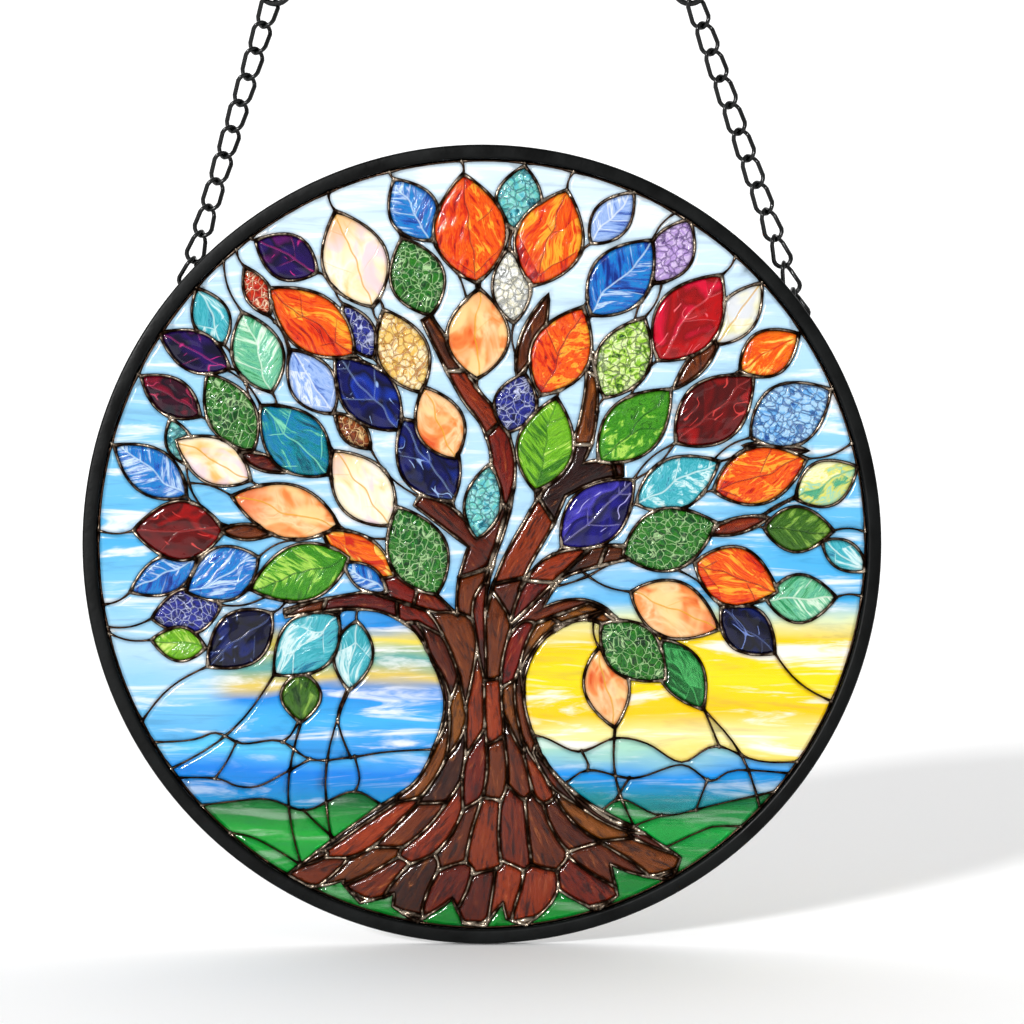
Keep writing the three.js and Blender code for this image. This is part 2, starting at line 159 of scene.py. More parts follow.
# %% List the strands and the lines of the landscape
STRANDS = [
    [(-72, -127, 6), (-54, -119, 15), (-36, -106, 15), (-21, -93, 11), (-13, -76, 9), (-10, -59, 8),
     (-14, -42, 10), (-22, -29, 10), (-36, -22, 8), (-53, -22, 5), (-74, -26, 3)],
    [(-49, -131, 10), (-37, -121, 22), (-22, -108, 15), (-11, -93, 11), (-7, -76, 9), (-6, -59, 8),
     (-8, -42, 12), (-16, -29, 13), (-29, -17, 10), (-43, -9, 6)],
    [(-29, -139, 11), (-20, -125, 24), (-10, -109, 14), (-4, -92, 11), (-1, -76, 9), (-1, -59, 8),
     (-2, -42, 10), (-4, -21, 11), (-1, -6, 11), (5, 11, 10), (8, 30, 9), (4, 45, 8), (-5, 57, 7),
     (-14, 73, 6), (-21, 85, 4)],
    [(-3, -143, 8), (-1, -127, 24), (2, -108, 15), (5, -92, 11), (5, -76, 9), (4, -59, 8), (5, -44, 9),
     (7, -25, 10), (12, -9, 10), (22, 9, 10), (29, 22, 8), (38, 39, 7), (41, 56, 5), (41, 72, 3)],
    [(13, -142, 8), (17, -127, 24), (14, -109, 15), (13, -92, 11), (11, -76, 9), (9, -59, 8), (10, -42, 9),
     (17, -24, 11), (26, -10, 10), (41, -5, 8), (56, -3, 5)],
    [(47, -135, 10), (36, -120, 24), (27, -104, 14), (22, -91, 11), (16, -76, 9), (12, -60, 8), (13, -46, 8),
     (19, -33, 10), (30, -26, 9), (41, -25, 7), (50, -30, 4)],
    [(73, -122, 9), (56, -115, 16), (38, -104, 14), (26, -90, 7), (19, -78, 4)],
    [(28, 20, 7), (41, 27, 8), (53, 28, 5)],
    [(-3, 1, 6), (-13, 10, 8), (-24, 17, 6)],
]
TWIGS = [
    (13, 63, 25, 94, 8), (-91, 34, -73, 27, 6), (-98, 5, -78, 4, 6),
    (85, 4, 108, 10, 6), (89, 77, 72, 58, 7), (98, 37, 123, 35, 4),
]
WATER_LINE = [
    (-150, -75), (-112, -74), (-100, -71), (-90, -75), (-76, -74), (-64, -81), (-48, -80), (-34, -78),
    (0, -76), (20, -72), (36, -78), (50, -73), (62, -75), (75, -82), (88, -76), (108, -82), (150, -79),
]
MEADOW_LINE = [
    (-150, -104), (-96, -97), (-80, -96), (-66, -100), (-48, -93), (-32, -100),
    (0, -102), (38, -103), (52, -96), (68, -102), (92, -97), (150, -84),
]
SHORE_LINES = [
    [(-125, -88), (-101, -88), (-92, -91), (-84, -91), (-74, -86), (-63, -80)],
    [(-94, -46), (-96, -57), (-99, -64), (-106, -72)], [(-68, -65), (-72, -72), (-76, -75)],
    [(-50, -53), (-54, -63), (-53, -71), (-49, -81)], [(-92, -74), (-96, -82), (-101, -89)],
    [(-48, -79), (-46, -88), (-48, -94)], [(-26, -78), (-20, -90)], [(-68, -99), (-62, -105), (-55, -111)],
    [(-108, -106), (-98, -108), (-87, -110), (-77, -115), (-66, -122)],
    [(24, -94), (30, -91), (40, -85), (57, -88), (75, -83), (86, -89), (96, -85), (125, -87)],
    [(37, -77), (40, -83), (39, -87)], [(85, -88), (80, -101)], [(83, -61), (90, -78)],
    [(56, -87), (49, -98)],
    [(62, -117), (69, -114), (82, -108), (90, -106), (112, -107)], [(70, -101), (55, -107), (48, -112)],
]
print(len(STRANDS), "strands,", len(TWIGS), "twigs,", len(SHORE_LINES), "short lines on the shores")

# %% [markdown]
# Outlines are sampled finely here, because the render shows every corner. Blender has curve objects, but
# the cartoon is cut from plain corners, so short functions work those out. A curve through a few given
# points is a chain of cubics. Each takes its slopes from the points next to it, so the chain runs smoothly
# through all of them.

# %% Draw outlines
LEAF_SKEW, LEAF_FULLNESS, LEAF_WIDENING = 0.92, 0.85, 1.07
LEAF_STEPS, CURVE_STEP = 16, 3.0


def smooth_curve(points, steps=0):
    knots = [Vector(point) for point in points]
    knots = [2 * knots[0] - knots[1], *knots, 2 * knots[-1] - knots[-2]]
    curve = []
    for before, start, end, after in zip(knots, knots[1:], knots[2:], knots[3:]):
        count = steps or max(2, math.ceil((end - start).to_2d().length / CURVE_STEP))
        for step in range(count):
            t = step / count
            bend = 2 * before - 5 * start + 4 * end - after
            twist = 3 * start - before - 3 * end + after
            curve.append(start + (end - before) * t / 2 + bend * t * t / 2 + twist * t ** 3 / 2)
    return [*curve, knots[-2]]


def leaf_outline(stem, tip, width):
    axis = tip - stem
    across = Vector((-axis.y, axis.x)).normalized()
    sides = ([], [])
    for step in range(1, LEAF_STEPS):
        along = step / LEAF_STEPS
        half_width = width / 2 * math.sin(math.pi * along ** LEAF_SKEW) ** LEAF_FULLNESS
        sides[0].append(stem + axis * along - across * half_width)
        sides[1].append(stem + axis * along + across * half_width)
    return [stem, *sides[0], tip, *reversed(sides[1])]


def strand_outline(stations):
    curve = smooth_curve(stations)
    sides = ([], [])
    for index, station in enumerate(curve):
        before = curve[max(index - 1, 0)]
        after = curve[min(index + 1, len(curve) - 1)]
        across = Vector((before.y - after.y, after.x - before.x)).normalized() * station.z / 2
        sides[0].append(station.to_2d() - across)
        sides[1].append(station.to_2d() + across)
    return sides[0] + sides[1][::-1]


def circle_outline(radius, count):
    turn = 2 * math.pi / count
    return [Vector((math.cos(step * turn), math.sin(step * turn))) * radius for step in range(count)]


print("a leaf has", len(leaf_outline(Vector((0, 0)), Vector((30, 0)), 20)), "corners")

# %% [markdown]
# Inside the trunk the lead follows the grain. The pieces of bark are long cells with pointed ends,
# staggered like a stretched honeycomb: seeds stand in rows across the grain, and a line runs midway between
# every two neighbours. Such lines join the middles of the circles through three seeds each, so a
# triangulation of the seeds finds them. Lines may run too far here, because loose ends are cut off later.

# %% Draw the lead lines inside the trunk
chance = random.Random(4)
TRUNK_STRANDS = 7
BARK_ROWS = [(-0.8, 13), (0.6, 13), (2.0, 10), (3.4, 7), (4.8, 6), (6.2, 5), (7.6, 6)]
GRAIN_WIDTH, GRAIN_STEPS = 13.0, 6
ROW_SCATTER, SEED_SCATTER, STAGGER = 0.34, 0.16, 0.5
BARK_BOW, BOW_STEPS = 0.14, 6
WHOLE_HULL, SEED_MERGE = 0, 0.0001
ALMOST_ONE = 0.999
grain_curves = [smooth_curve(strand, GRAIN_STEPS) for strand in STRANDS]


def on_strand(curve, station):
    place = min(max(station * GRAIN_STEPS, 0.0), len(curve) - 2 + ALMOST_ONE)
    index = int(place)
    return curve[index].lerp(curve[index + 1], place - index)


def bark_place(across, station):
    stations = [on_strand(curve, station) for curve in grain_curves[:TRUNK_STRANDS]]
    if station > len(STRANDS[TRUNK_STRANDS - 1]) - 1:
        stations[-1] = stations[-2] + Vector((stations[-2].z / 2, 0, 0))
    row = [2 * stations[0] - stations[1], *stations, 2 * stations[-1] - stations[-2]]
    place = min(max(across, 0.0), ALMOST_ONE) * (len(row) - 1)
    index = int(place)
    return row[index].lerp(row[index + 1], place - index).to_2d()


def circle_middle(one, two, three):
    to_two, to_three = two - one, three - one
    turned = to_two * to_three.length_squared - to_three * to_two.length_squared
    return one + Vector((turned.y, -turned.x)) / (2 * to_three.cross(to_two))


def bark_lines():
    seeds = []
    for number, (station, count) in enumerate(BARK_ROWS):
        for index in range(count + 1):
            across = index + STAGGER * (number % 2) + chance.uniform(-SEED_SCATTER, SEED_SCATTER)
            along = station + chance.uniform(-ROW_SCATTER, ROW_SCATTER)
            seeds.append(Vector((across / count * GRAIN_WIDTH, along)))
    seeds, _, triangles, *_ = delaunay_2d_cdt(seeds, [], [], WHOLE_HULL, SEED_MERGE, False)
    sides = {}
    for triangle in triangles:
        middle_place = circle_middle(*(seeds[index] for index in triangle))
        for side in zip(triangle, [*triangle[1:], triangle[0]]):
            sides.setdefault(frozenset(side), []).append(middle_place)
    drawn = []
    for start, end in (ends for ends in sides.values() if len(ends) == 2):
        bow = Vector((chance.uniform(-BARK_BOW, BARK_BOW), 0))
        steps = [step / BOW_STEPS for step in range(BOW_STEPS + 1)]
        span = [start.lerp(end, step) + bow * math.sin(math.pi * step) for step in steps]
        drawn.append([bark_place(place.x / GRAIN_WIDTH, place.y) for place in span])
    return drawn


trunk_lines = bark_lines()
print(len(trunk_lines), "lead lines inside the trunk")

# %% [markdown]
# Limbs are too narrow for cells, so they have slanting cuts only, a little longer than the limb is wide. A
# line also runs down between the strands from each of the two forks in the middle, because glass can't be
# cut with a narrow notch.

# %% Draw the lead lines across the limbs
FIRST_LIMB_CUT, LIMB_CUT, LIMB_END = 7.7, 1.6, 1.2
CUT_SLANT, CUT_REACH, CUT_SPARE = 0.55, 0.62, 1
FORKS = [(2, 4.9), (3, 5.6)]
FORK_REACH, FORK_STEPS = 2.4, 12


def limb_cuts(strand):
    cuts = []
    place = FIRST_LIMB_CUT
    while place < len(strand) - LIMB_END:
        index = int(place)
        start, end = Vector(strand[index]), Vector(strand[index + 1])
        centre = start.lerp(end, place - index)
        axis = (end - start).to_2d().normalized()
        slant = CUT_SLANT if len(cuts) % 2 else -CUT_SLANT
        across = (Vector((-axis.y, axis.x)) + axis * slant) * (centre.z * CUT_REACH + CUT_SPARE)
        cuts.append([centre.to_2d() - across, centre.to_2d() + across])
        place += LIMB_CUT
    return cuts


def fork_line(left_strand, first_station):
    line = []
    for step in range(FORK_STEPS + 1):
        station = first_station + FORK_REACH * step / FORK_STEPS
        left, right = (on_strand(grain_curves[left_strand + side], station) for side in (0, 1))
        line.append(left.lerp(right, 0.5).to_2d())
    return line


trunk_lines += [cut for strand in STRANDS for cut in limb_cuts(strand)]
trunk_lines += [fork_line(*fork) for fork in FORKS]
print(len(trunk_lines), "lead lines with those of the limbs and forks")

# %% [markdown]
# Now the cartoon is laid out, from the disc over the tree to the leaves. In the sky a lead line leaves each
# tip and each stem along the leaf, slightly bowed, until it meets something. Every shape and every line
# gets an owner, which is a number: the background, the tree, then one for each leaf.

# %% Lay out the shapes and the lines
BACKGROUND, TREE = 0, 1
EDGE_LINE_INSET, DISC_STEPS = 6.0, 180
SKY_REACH, SKY_OVERLAP = 60, 0.6
SKY_BOW, SKY_STEPS = 0.09, 8


def sky_line(own_shape, start, direction):
    far = start + direction * SKY_REACH
    reach = SKY_REACH
    for number, (_, outline) in enumerate(shapes):
        for one, other in zip(outline, outline[1:] + outline[:1]):
            hit = intersect_line_line_2d(start, far, one, other) if number != own_shape else None
            reach = min(reach, (hit - start).length) if hit else reach
    bow = Vector((-direction.y, direction.x)) * reach * SKY_BOW * chance.choice((-1, 1))
    steps = [step / SKY_STEPS for step in range(SKY_STEPS + 1)]
    curve = [start + direction * reach * step + bow * math.sin(math.pi * step) for step in steps]
    return [start - direction * SKY_OVERLAP, *curve, curve[-1] + direction * SKY_OVERLAP]


shapes = [(BACKGROUND, circle_outline(rim_radius - EDGE_LINE_INSET, DISC_STEPS))]
shapes += [(TREE, strand_outline(strand)) for strand in STRANDS]
shapes += [(TREE, leaf_outline(Vector(twig[:2]), Vector(twig[2:4]), twig[4])) for twig in TWIGS]
first_leaf = len(shapes)
for number, leaf in enumerate(leaves):
    shapes.append((TREE + 1 + number, leaf_outline(leaf.stem, leaf.tip, leaf.width * LEAF_WIDENING)))

lines = [(BACKGROUND, smooth_curve(line)) for line in (WATER_LINE, MEADOW_LINE, *SHORE_LINES)]
lines += [(TREE, line) for line in trunk_lines]
for number, leaf in enumerate(leaves):
    axis = (leaf.tip - leaf.stem).normalized()
    lines.append((BACKGROUND, sky_line(first_leaf + number, leaf.tip, axis)))
    lines.append((BACKGROUND, sky_line(first_leaf + number, leaf.stem, -axis)))
print(len(shapes), "shapes and", len(lines), "lines drawn")

# %% [markdown]
# All outlines and lines are laid over each other and cut at every crossing. Booleans could cut one shape by
# another, but dozens of them in turn are slow and leave stray corners. Blender's triangulation with fixed
# edges cuts everything at once, and tells for each triangle which shapes cover it: the topmost one owns it.

# %% Cut the cartoon into triangles
CUT_AT_LINES, CUT_MERGE = 2, 0.02
points, line_edges, line_owners, shape_faces = [], [], [], []
for _, outline in shapes:
    shape_faces.append(list(range(len(points), len(points) + len(outline))))
    points += outline
for owner, line in lines:
    line_edges += [(len(points) + step, len(points) + step + 1) for step in range(len(line) - 1)]
    line_owners += [owner] * (len(line) - 1)
    points += [Vector(point).to_2d() for point in line]
cut = delaunay_2d_cdt(points, line_edges, shape_faces, CUT_AT_LINES, CUT_MERGE, True)
cut_points, cut_edges, cut_faces, _, edge_sources, face_sources = cut

cartoon = bmesh.new()
owner_of = cartoon.faces.layers.int.new("owner")
corners = [cartoon.verts.new((*point, 0)) for point in cut_points]
for face, sources in zip(cut_faces, face_sources):
    if 0 in sources:
        triangle = cartoon.faces.new([corners[index] for index in face])
        triangle.normal_update()
        if triangle.normal.z < 0:
            triangle.normal_flip()
        triangle[owner_of] = max(shapes[source][0] for source in sources)
print(len(cartoon.faces), "triangles in the cartoon")

# %% [markdown]
# An edge is lead where two owners meet, on the border of the disc, or where a line lies on its own owner. A
# line that ends inside a piece parts nothing, so loose ends are pruned edge by edge until none is left.

# %% Mark the edges of lead
for edge in cartoon.edges:
    edge.tag = len({face[owner_of] for face in edge.link_faces}) == 2 or edge.is_boundary
for (start, end), sources in zip(cut_edges, edge_sources):
    edge = cartoon.edges.get((corners[start], corners[end]))
    owners = {line_owners[source] for source in sources if source < len(line_edges)}
    if edge and edge.link_faces and edge.link_faces[0][owner_of] in owners:
        edge.tag = True


def lead_at(corner):
    return [edge for edge in corner.link_edges if edge.tag]


loose = [corner for corner in cartoon.verts if len(lead_at(corner)) == 1]
while loose:
    corner = loose.pop()
    for edge in lead_at(corner):
        edge.tag = False
        far_corner = edge.other_vert(corner)
        if len(lead_at(far_corner)) == 1:
            loose.append(far_corner)
print(sum(edge.tag for edge in cartoon.edges), "edges of lead")

# %% [markdown]
# The lead lines are read off as paths from joint to joint, because they become the beads of solder. Lines
# that only part two pieces of background get less solder than the outlines of leaves and bark.

# %% Follow the lead lines
THIN_LINE, THICK_LINE = 0.8, 1.08
joints = [corner for corner in cartoon.verts if len(lead_at(corner)) > 2]
lead_paths = []
walked = set()


def walk(corner, edge):
    in_background = {face[owner_of] for face in edge.link_faces} == {BACKGROUND}
    path = [corner.co.copy()]
    while edge and edge not in walked:
        walked.add(edge)
        corner = edge.other_vert(corner)
        path.append(corner.co.copy())
        ahead = [other for other in lead_at(corner) if other not in walked]
        edge = ahead[0] if len(ahead) == 1 and len(lead_at(corner)) == 2 else None
    return path, THIN_LINE if in_background else THICK_LINE


for corner in joints + list(cartoon.verts):
    for edge in lead_at(corner):
        if edge not in walked:
            lead_paths.append(walk(corner, edge))
joint_places = [corner.co.copy() for corner in joints]

# %% [markdown]
# Triangles that no lead parts belong to one piece of glass, and a flood fill collects them. The edges of
# lead around a piece are its border. Each is kept as a start and an end with the glass to its left.

# %% Gather the triangles into pieces
cells = []
visited = set()
for first in cartoon.faces:
    if first in visited:
        continue
    visited.add(first)
    group = [first]
    for face in group:
        for edge in face.edges:
            for neighbour in edge.link_faces:
                if not edge.tag and neighbour not in visited:
                    visited.add(neighbour)
                    group.append(neighbour)
    loops = [loop for face in group for loop in face.loops if loop.edge.tag]
    cells.append((first[owner_of], group, [(loop.vert, loop.link_loop_next.vert) for loop in loops]))
print(len(cells), "pieces of glass in the cartoon")

# %% [markdown]
# A piece of glass is cut a little inside its lead line, so its edge hides under the bead. Two lines run
# round inside the border, one for the cut and one where the front has swollen to its full height, as glass
# does that was softened in a kiln. Blender's inset could draw them, but in the sharp ends of leaves its
# corners run far out, so here the mitre is limited. Spots on a grid fill the space between the lines and
# keep the triangles small.

# %% Draw lines and spots inside a border
EDGE_INSET, SWELL_INSET = 0.35, 1.9
MITRE_LIMIT = 0.3
SPOT_SPACING = 4.0


def inward(start, end):
    along = (end.co - start.co).to_2d().normalized()
    return Vector((-along.y, along.x))


def ring_lines(border, distance):
    after = dict(border)
    before = {end: start for start, end in border}

    def ring_place(corner):
        one, other = inward(before[corner], corner), inward(corner, after[corner])
        return corner.co.to_2d() + (one + other) * distance / max(1 + one.dot(other), MITRE_LIMIT)

    return [(ring_place(start), ring_place(end)) for start, end in border]


def spots_between(border):
    rows = []
    for axis in (0, 1):
        places = [start.co[axis] / SPOT_SPACING for start, _ in border]
        rows.append(range(math.ceil(min(places)), math.ceil(max(places))))
    return [Vector((column, row)) * SPOT_SPACING for column in rows[0] for row in rows[1]]


print("glass starts", EDGE_INSET, "mm from its lead line and is swollen from", SWELL_INSET, "mm on")

# %% [markdown]
# The lines may cross in narrow places, so a triangulation sorts them out, and only what lies far enough
# from all lead is kept and raised to a plate. Search trees tell whether a place is on the piece and how far
# it is from the lead. A UV map lies along each piece for the streaks, one number for each piece varies its
# tone, and another tells how far from the lead a corner is.

# %% Cut one piece of glass
SWELL, LEAST_ROOM = 0.4, 0.8
GLASS_MERGE = 0.01
UV_UNIT = 30.0
up = Vector((0, 0, 1))


def search_tree(polygons):
    indices = []
    for polygon in polygons:
        first = indices[-1][-1] + 1 if indices else 0
        indices.append(list(range(first, first + len(polygon))))
    return BVHTree.FromPolygons([corner for polygon in polygons for corner in polygon], indices)


def smooth_outwards(shape):
    bmesh.ops.recalc_face_normals(shape, faces=shape.faces)
    for face in shape.faces:
        face.smooth = True


def raise_plate(plate):
    raised = bmesh.ops.extrude_face_region(plate, geom=list(plate.faces), use_keep_orig=True)["geom"]
    top_corners = [item for item in raised if isinstance(item, bmesh.types.BMVert)]
    bmesh.ops.translate(plate, verts=top_corners, vec=up * glass_depth)
    smooth_outwards(plate)
    return top_corners


def cut_glass(group, border, stem, axis):
    ground = search_tree([[corner.co for corner in face.verts] for face in group])
    walls = search_tree([[start.co - up, end.co - up, end.co + up, start.co + up] for start, end in border])

    def from_lead(place):
        return walls.find_nearest(place.to_2d().to_3d())[3]

    def on_piece(place):
        return ground.ray_cast(place.to_3d() + up, -up)[0] is not None

    rings = ring_lines(border, EDGE_INSET)
    for line in ring_lines(border, SWELL_INSET):
        if min(map(from_lead, line)) > LEAST_ROOM * SWELL_INSET:
            rings.append(line)
    spots = [place for line in rings for place in line]
    pairs = [(first, first + 1) for first in range(0, len(spots), 2)]
    spots += [place for place in spots_between(border) if on_piece(place) and from_lead(place) > SWELL_INSET]
    spots, _, triangles, *_ = delaunay_2d_cdt(spots, pairs, [], WHOLE_HULL, GLASS_MERGE, False)

    piece = bmesh.new()
    grain = piece.loops.layers.uv.new("grain")
    tone = piece.verts.layers.float.new("tone")
    rise = piece.verts.layers.float.new("rise")
    corners = [piece.verts.new((*spot, -glass_depth / 2)) for spot in spots]
    for triangle in triangles:
        centre = sum((spots[index] for index in triangle), Vector((0, 0))) / 3
        if on_piece(centre) and from_lead(centre) > EDGE_INSET:
            piece.faces.new([corners[index] for index in triangle])
    unused = [corner for corner in piece.verts if not corner.link_faces]
    bmesh.ops.delete(piece, geom=unused, context="VERTS")
    top_corners = raise_plate(piece)

    piece_tone = chance.random()
    for corner in piece.verts:
        corner[tone] = piece_tone
        corner[rise] = min(from_lead(corner.co) / SWELL_INSET, 1)
    for corner in top_corners:
        corner.co.z += SWELL * corner[rise] * (2 - corner[rise])
    across = Vector((-axis.y, axis.x))
    for loop in (loop for face in piece.faces for loop in face.loops):
        place = loop.vert.co.to_2d() - stem
        loop[grain].uv = (place.dot(axis) / UV_UNIT, place.dot(across) / UV_UNIT)
    return piece


print("the front of a piece swells by", SWELL, "mm")

# %% [markdown]
# A leaf is one piece of glass, or a few where other leaves part it. Its streaks run from the stem to the
# tip, and those of the bark follow the nearest strand. The other pieces are sorted into sky, water and
# meadow by the lines of the landscape. Where two lead lines run so close together that no glass fits
# between them, the sliver is filled with lead.

# %% Cut all the glass
THINNEST = 0.9
panes, slivers = {}, []


def as_mesh(name, shape):
    mesh = bpy.data.meshes.new(name)
    shape.to_mesh(mesh)
    shape.free()
    return mesh


def grain_axis(place):
    steps = [(start.to_2d(), end.to_2d()) for curve in grain_curves for start, end in zip(curve, curve[1:])]
    start, end = min(steps, key=lambda step: (step[0] + step[1] - 2 * place).length)
    return (end - start).normalized()


def line_height(line, u):
    for (start_u, start_v), (end_u, end_v) in zip(line, line[1:]):
        if start_u <= u <= end_u:
            return start_v + (end_v - start_v) * (u - start_u) / (end_u - start_u)
    return line[-1][1]


def region_at(place):
    if place.y > line_height(WATER_LINE, place.x):
        return "sky_panes"
    return "water_panes" if place.y > line_height(MEADOW_LINE, place.x) else "meadow_panes"


for owner, group, border in cells:
    border_length = sum((end.co - start.co).length for start, end in border)
    if 2 * sum(face.calc_area() for face in group) / border_length < THINNEST:
        slivers.append([[corner.co - up * glass_depth / 2 for corner in face.verts] for face in group])
        continue
    stem = sum((start.co.to_2d() for start, _ in border), Vector((0, 0))) / len(border)
    axis = grain_axis(stem)
    pane = "bark_panes" if owner == TREE else region_at(stem)
    if owner > TREE:
        leaf = leaves[owner - TREE - 1]
        stem, pane = leaf.stem, leaf.name
        axis = (leaf.tip - stem).normalized()
    panes.setdefault(pane, []).append(as_mesh(pane, cut_glass(group, border, stem, axis)))
cartoon.free()
glass_meshes = [mesh for meshes in panes.values() for mesh in meshes]
print(len(glass_meshes), "pieces of glass,", len(slivers), "slivers left to lead")
print(sum(len(mesh.polygons) for mesh in glass_meshes), "faces in the glass")

# %% [markdown]
# Finishes come as small node trees. One class wraps a socket so that sums can be written as Python
# expressions, such as 1 - mask. Each operation adds one Math node.

# %% Write shader sums as expressions


class Socket:
    def __init__(self, finish, socket):
        self.finish = finish
        self.socket = socket

    def __add__(self, other):
        return self.finish.maths("ADD", self, other)

    def __sub__(self, other):
        return self.finish.maths("SUBTRACT", self, other)

    def __rsub__(self, other):
        return self.finish.maths("SUBTRACT", other, self)

    def __mul__(self, other):
        return self.finish.maths("MULTIPLY", self, other)

    def __truediv__(self, other):
        return self.finish.maths("DIVIDE", self, other)

    def __rtruediv__(self, other):
        return self.finish.maths("DIVIDE", other, self)

    def __abs__(self):
        return self.finish.maths("ABSOLUTE", self)

    __radd__ = __add__
    __rmul__ = __mul__


print("wrapped sockets can be added, subtracted, multiplied and divided")

# %% [markdown]
# The other class holds one material. One method makes any node from its type, its settings and its inputs,
# and short methods stand for the nodes that are used most. Colours are given as they look on a screen.
# Those of the leaves and the bark are taken a little darker, because light shines through them from behind.

# %% Build materials from nodes


class Finish:
    def __init__(self, name, **shader_values):
        self.material = bpy.data.materials.new(name)
        self.material.use_nodes = True
        self.tree = self.material.node_tree
        self.shader = self.tree.nodes["Principled BSDF"]
        for socket_name, value in shader_values.items():
            self.shader.inputs[socket_name.replace("_", " ")].default_value = value

    def feed(self, socket, value):
        if isinstance(value, Socket):
            self.tree.links.new(value.socket, socket)
        else:
            socket.default_value = value

    def node(self, kind, settings=None, inputs=None, output=0):
        made = self.tree.nodes.new("ShaderNode" + kind)
        for name, value in (settings or {}).items():
            if name == "stops":
                self.set_stops(made.color_ramp, value)
            else:
                setattr(made, name, value)
        for name, value in (inputs or {}).items():
            self.feed(made.inputs[name], value)
        return Socket(self, made.outputs[output])

    def set_stops(self, ramp, stops):
        while len(ramp.elements) < len(stops):
            ramp.elements.new(0.5)
        for element, (place, colour) in zip(ramp.elements, stops):
            element.position = place
            element.color = colour

    def maths(self, operation, *values):
        return self.node("Math", {"operation": operation}, dict(enumerate(values)))

    def ease(self, value, low, high, start=0.0, end=1.0):
        settings = {"interpolation_type": "SMOOTHSTEP"}
        inputs = {"Value": value, "From Min": low, "From Max": high, "To Min": start, "To Max": end}
        return self.node("MapRange", settings, inputs)

    def mix(self, amount, one, other):
        return self.node("Mix", {"data_type": "RGBA"}, {0: amount, 6: one, 7: other}, 2)

    def join(self, x, y, z):
        return self.node("CombineXYZ", None, {0: x, 1: y, 2: z})

    def parts(self, vector):
        split = self.node("SeparateXYZ", None, {0: vector})
        return [Socket(self, output) for output in split.socket.node.outputs]

    def noise(self, vector, scale, detail=2.0, roughness=0.5, distortion=0.0):
        inputs = {"Vector": vector, "Scale": scale, "Detail": detail, "Roughness": roughness,
                  "Distortion": distortion}
        return self.node("TexNoise", None, inputs)

    def ramp(self, amount, stops):
        return self.node("ValToRGB", {"stops": stops}, {0: amount})

    def bump(self, height, strength, distance):
        return self.node("Bump", None, {"Height": height, "Strength": strength, "Distance": distance})

    def place(self):
        return self.parts(self.node("TexCoord", None, None, 3))

    def finish(self, base, roughness=None, normal=None):
        self.feed(self.shader.inputs["Base Color"], base)
        if roughness is not None:
            self.feed(self.shader.inputs["Roughness"], roughness)
        if normal is not None:
            self.feed(self.shader.inputs["Normal"], normal)
        return self.material


SCREEN_GAMMA, GLASS_GAMMA = 2.2, 2.5


def colour(red, green, blue, gamma=SCREEN_GAMMA):
    return (*((part / 255) ** gamma for part in (red, green, blue)), 1.0)


def glass_colour(shade):
    return colour(*shade, gamma=GLASS_GAMMA)


print("a pale blue is", tuple(round(part, 3) for part in colour(160, 215, 245)))

# %% [markdown]
# Leaf glass comes in four makes: streaky, deep, opal and crackle. All of it lets part of the light through.
# Each recipe gives a make and four colours: dark, main, light and a second tint. The net of crackle glass
# has the third colour.

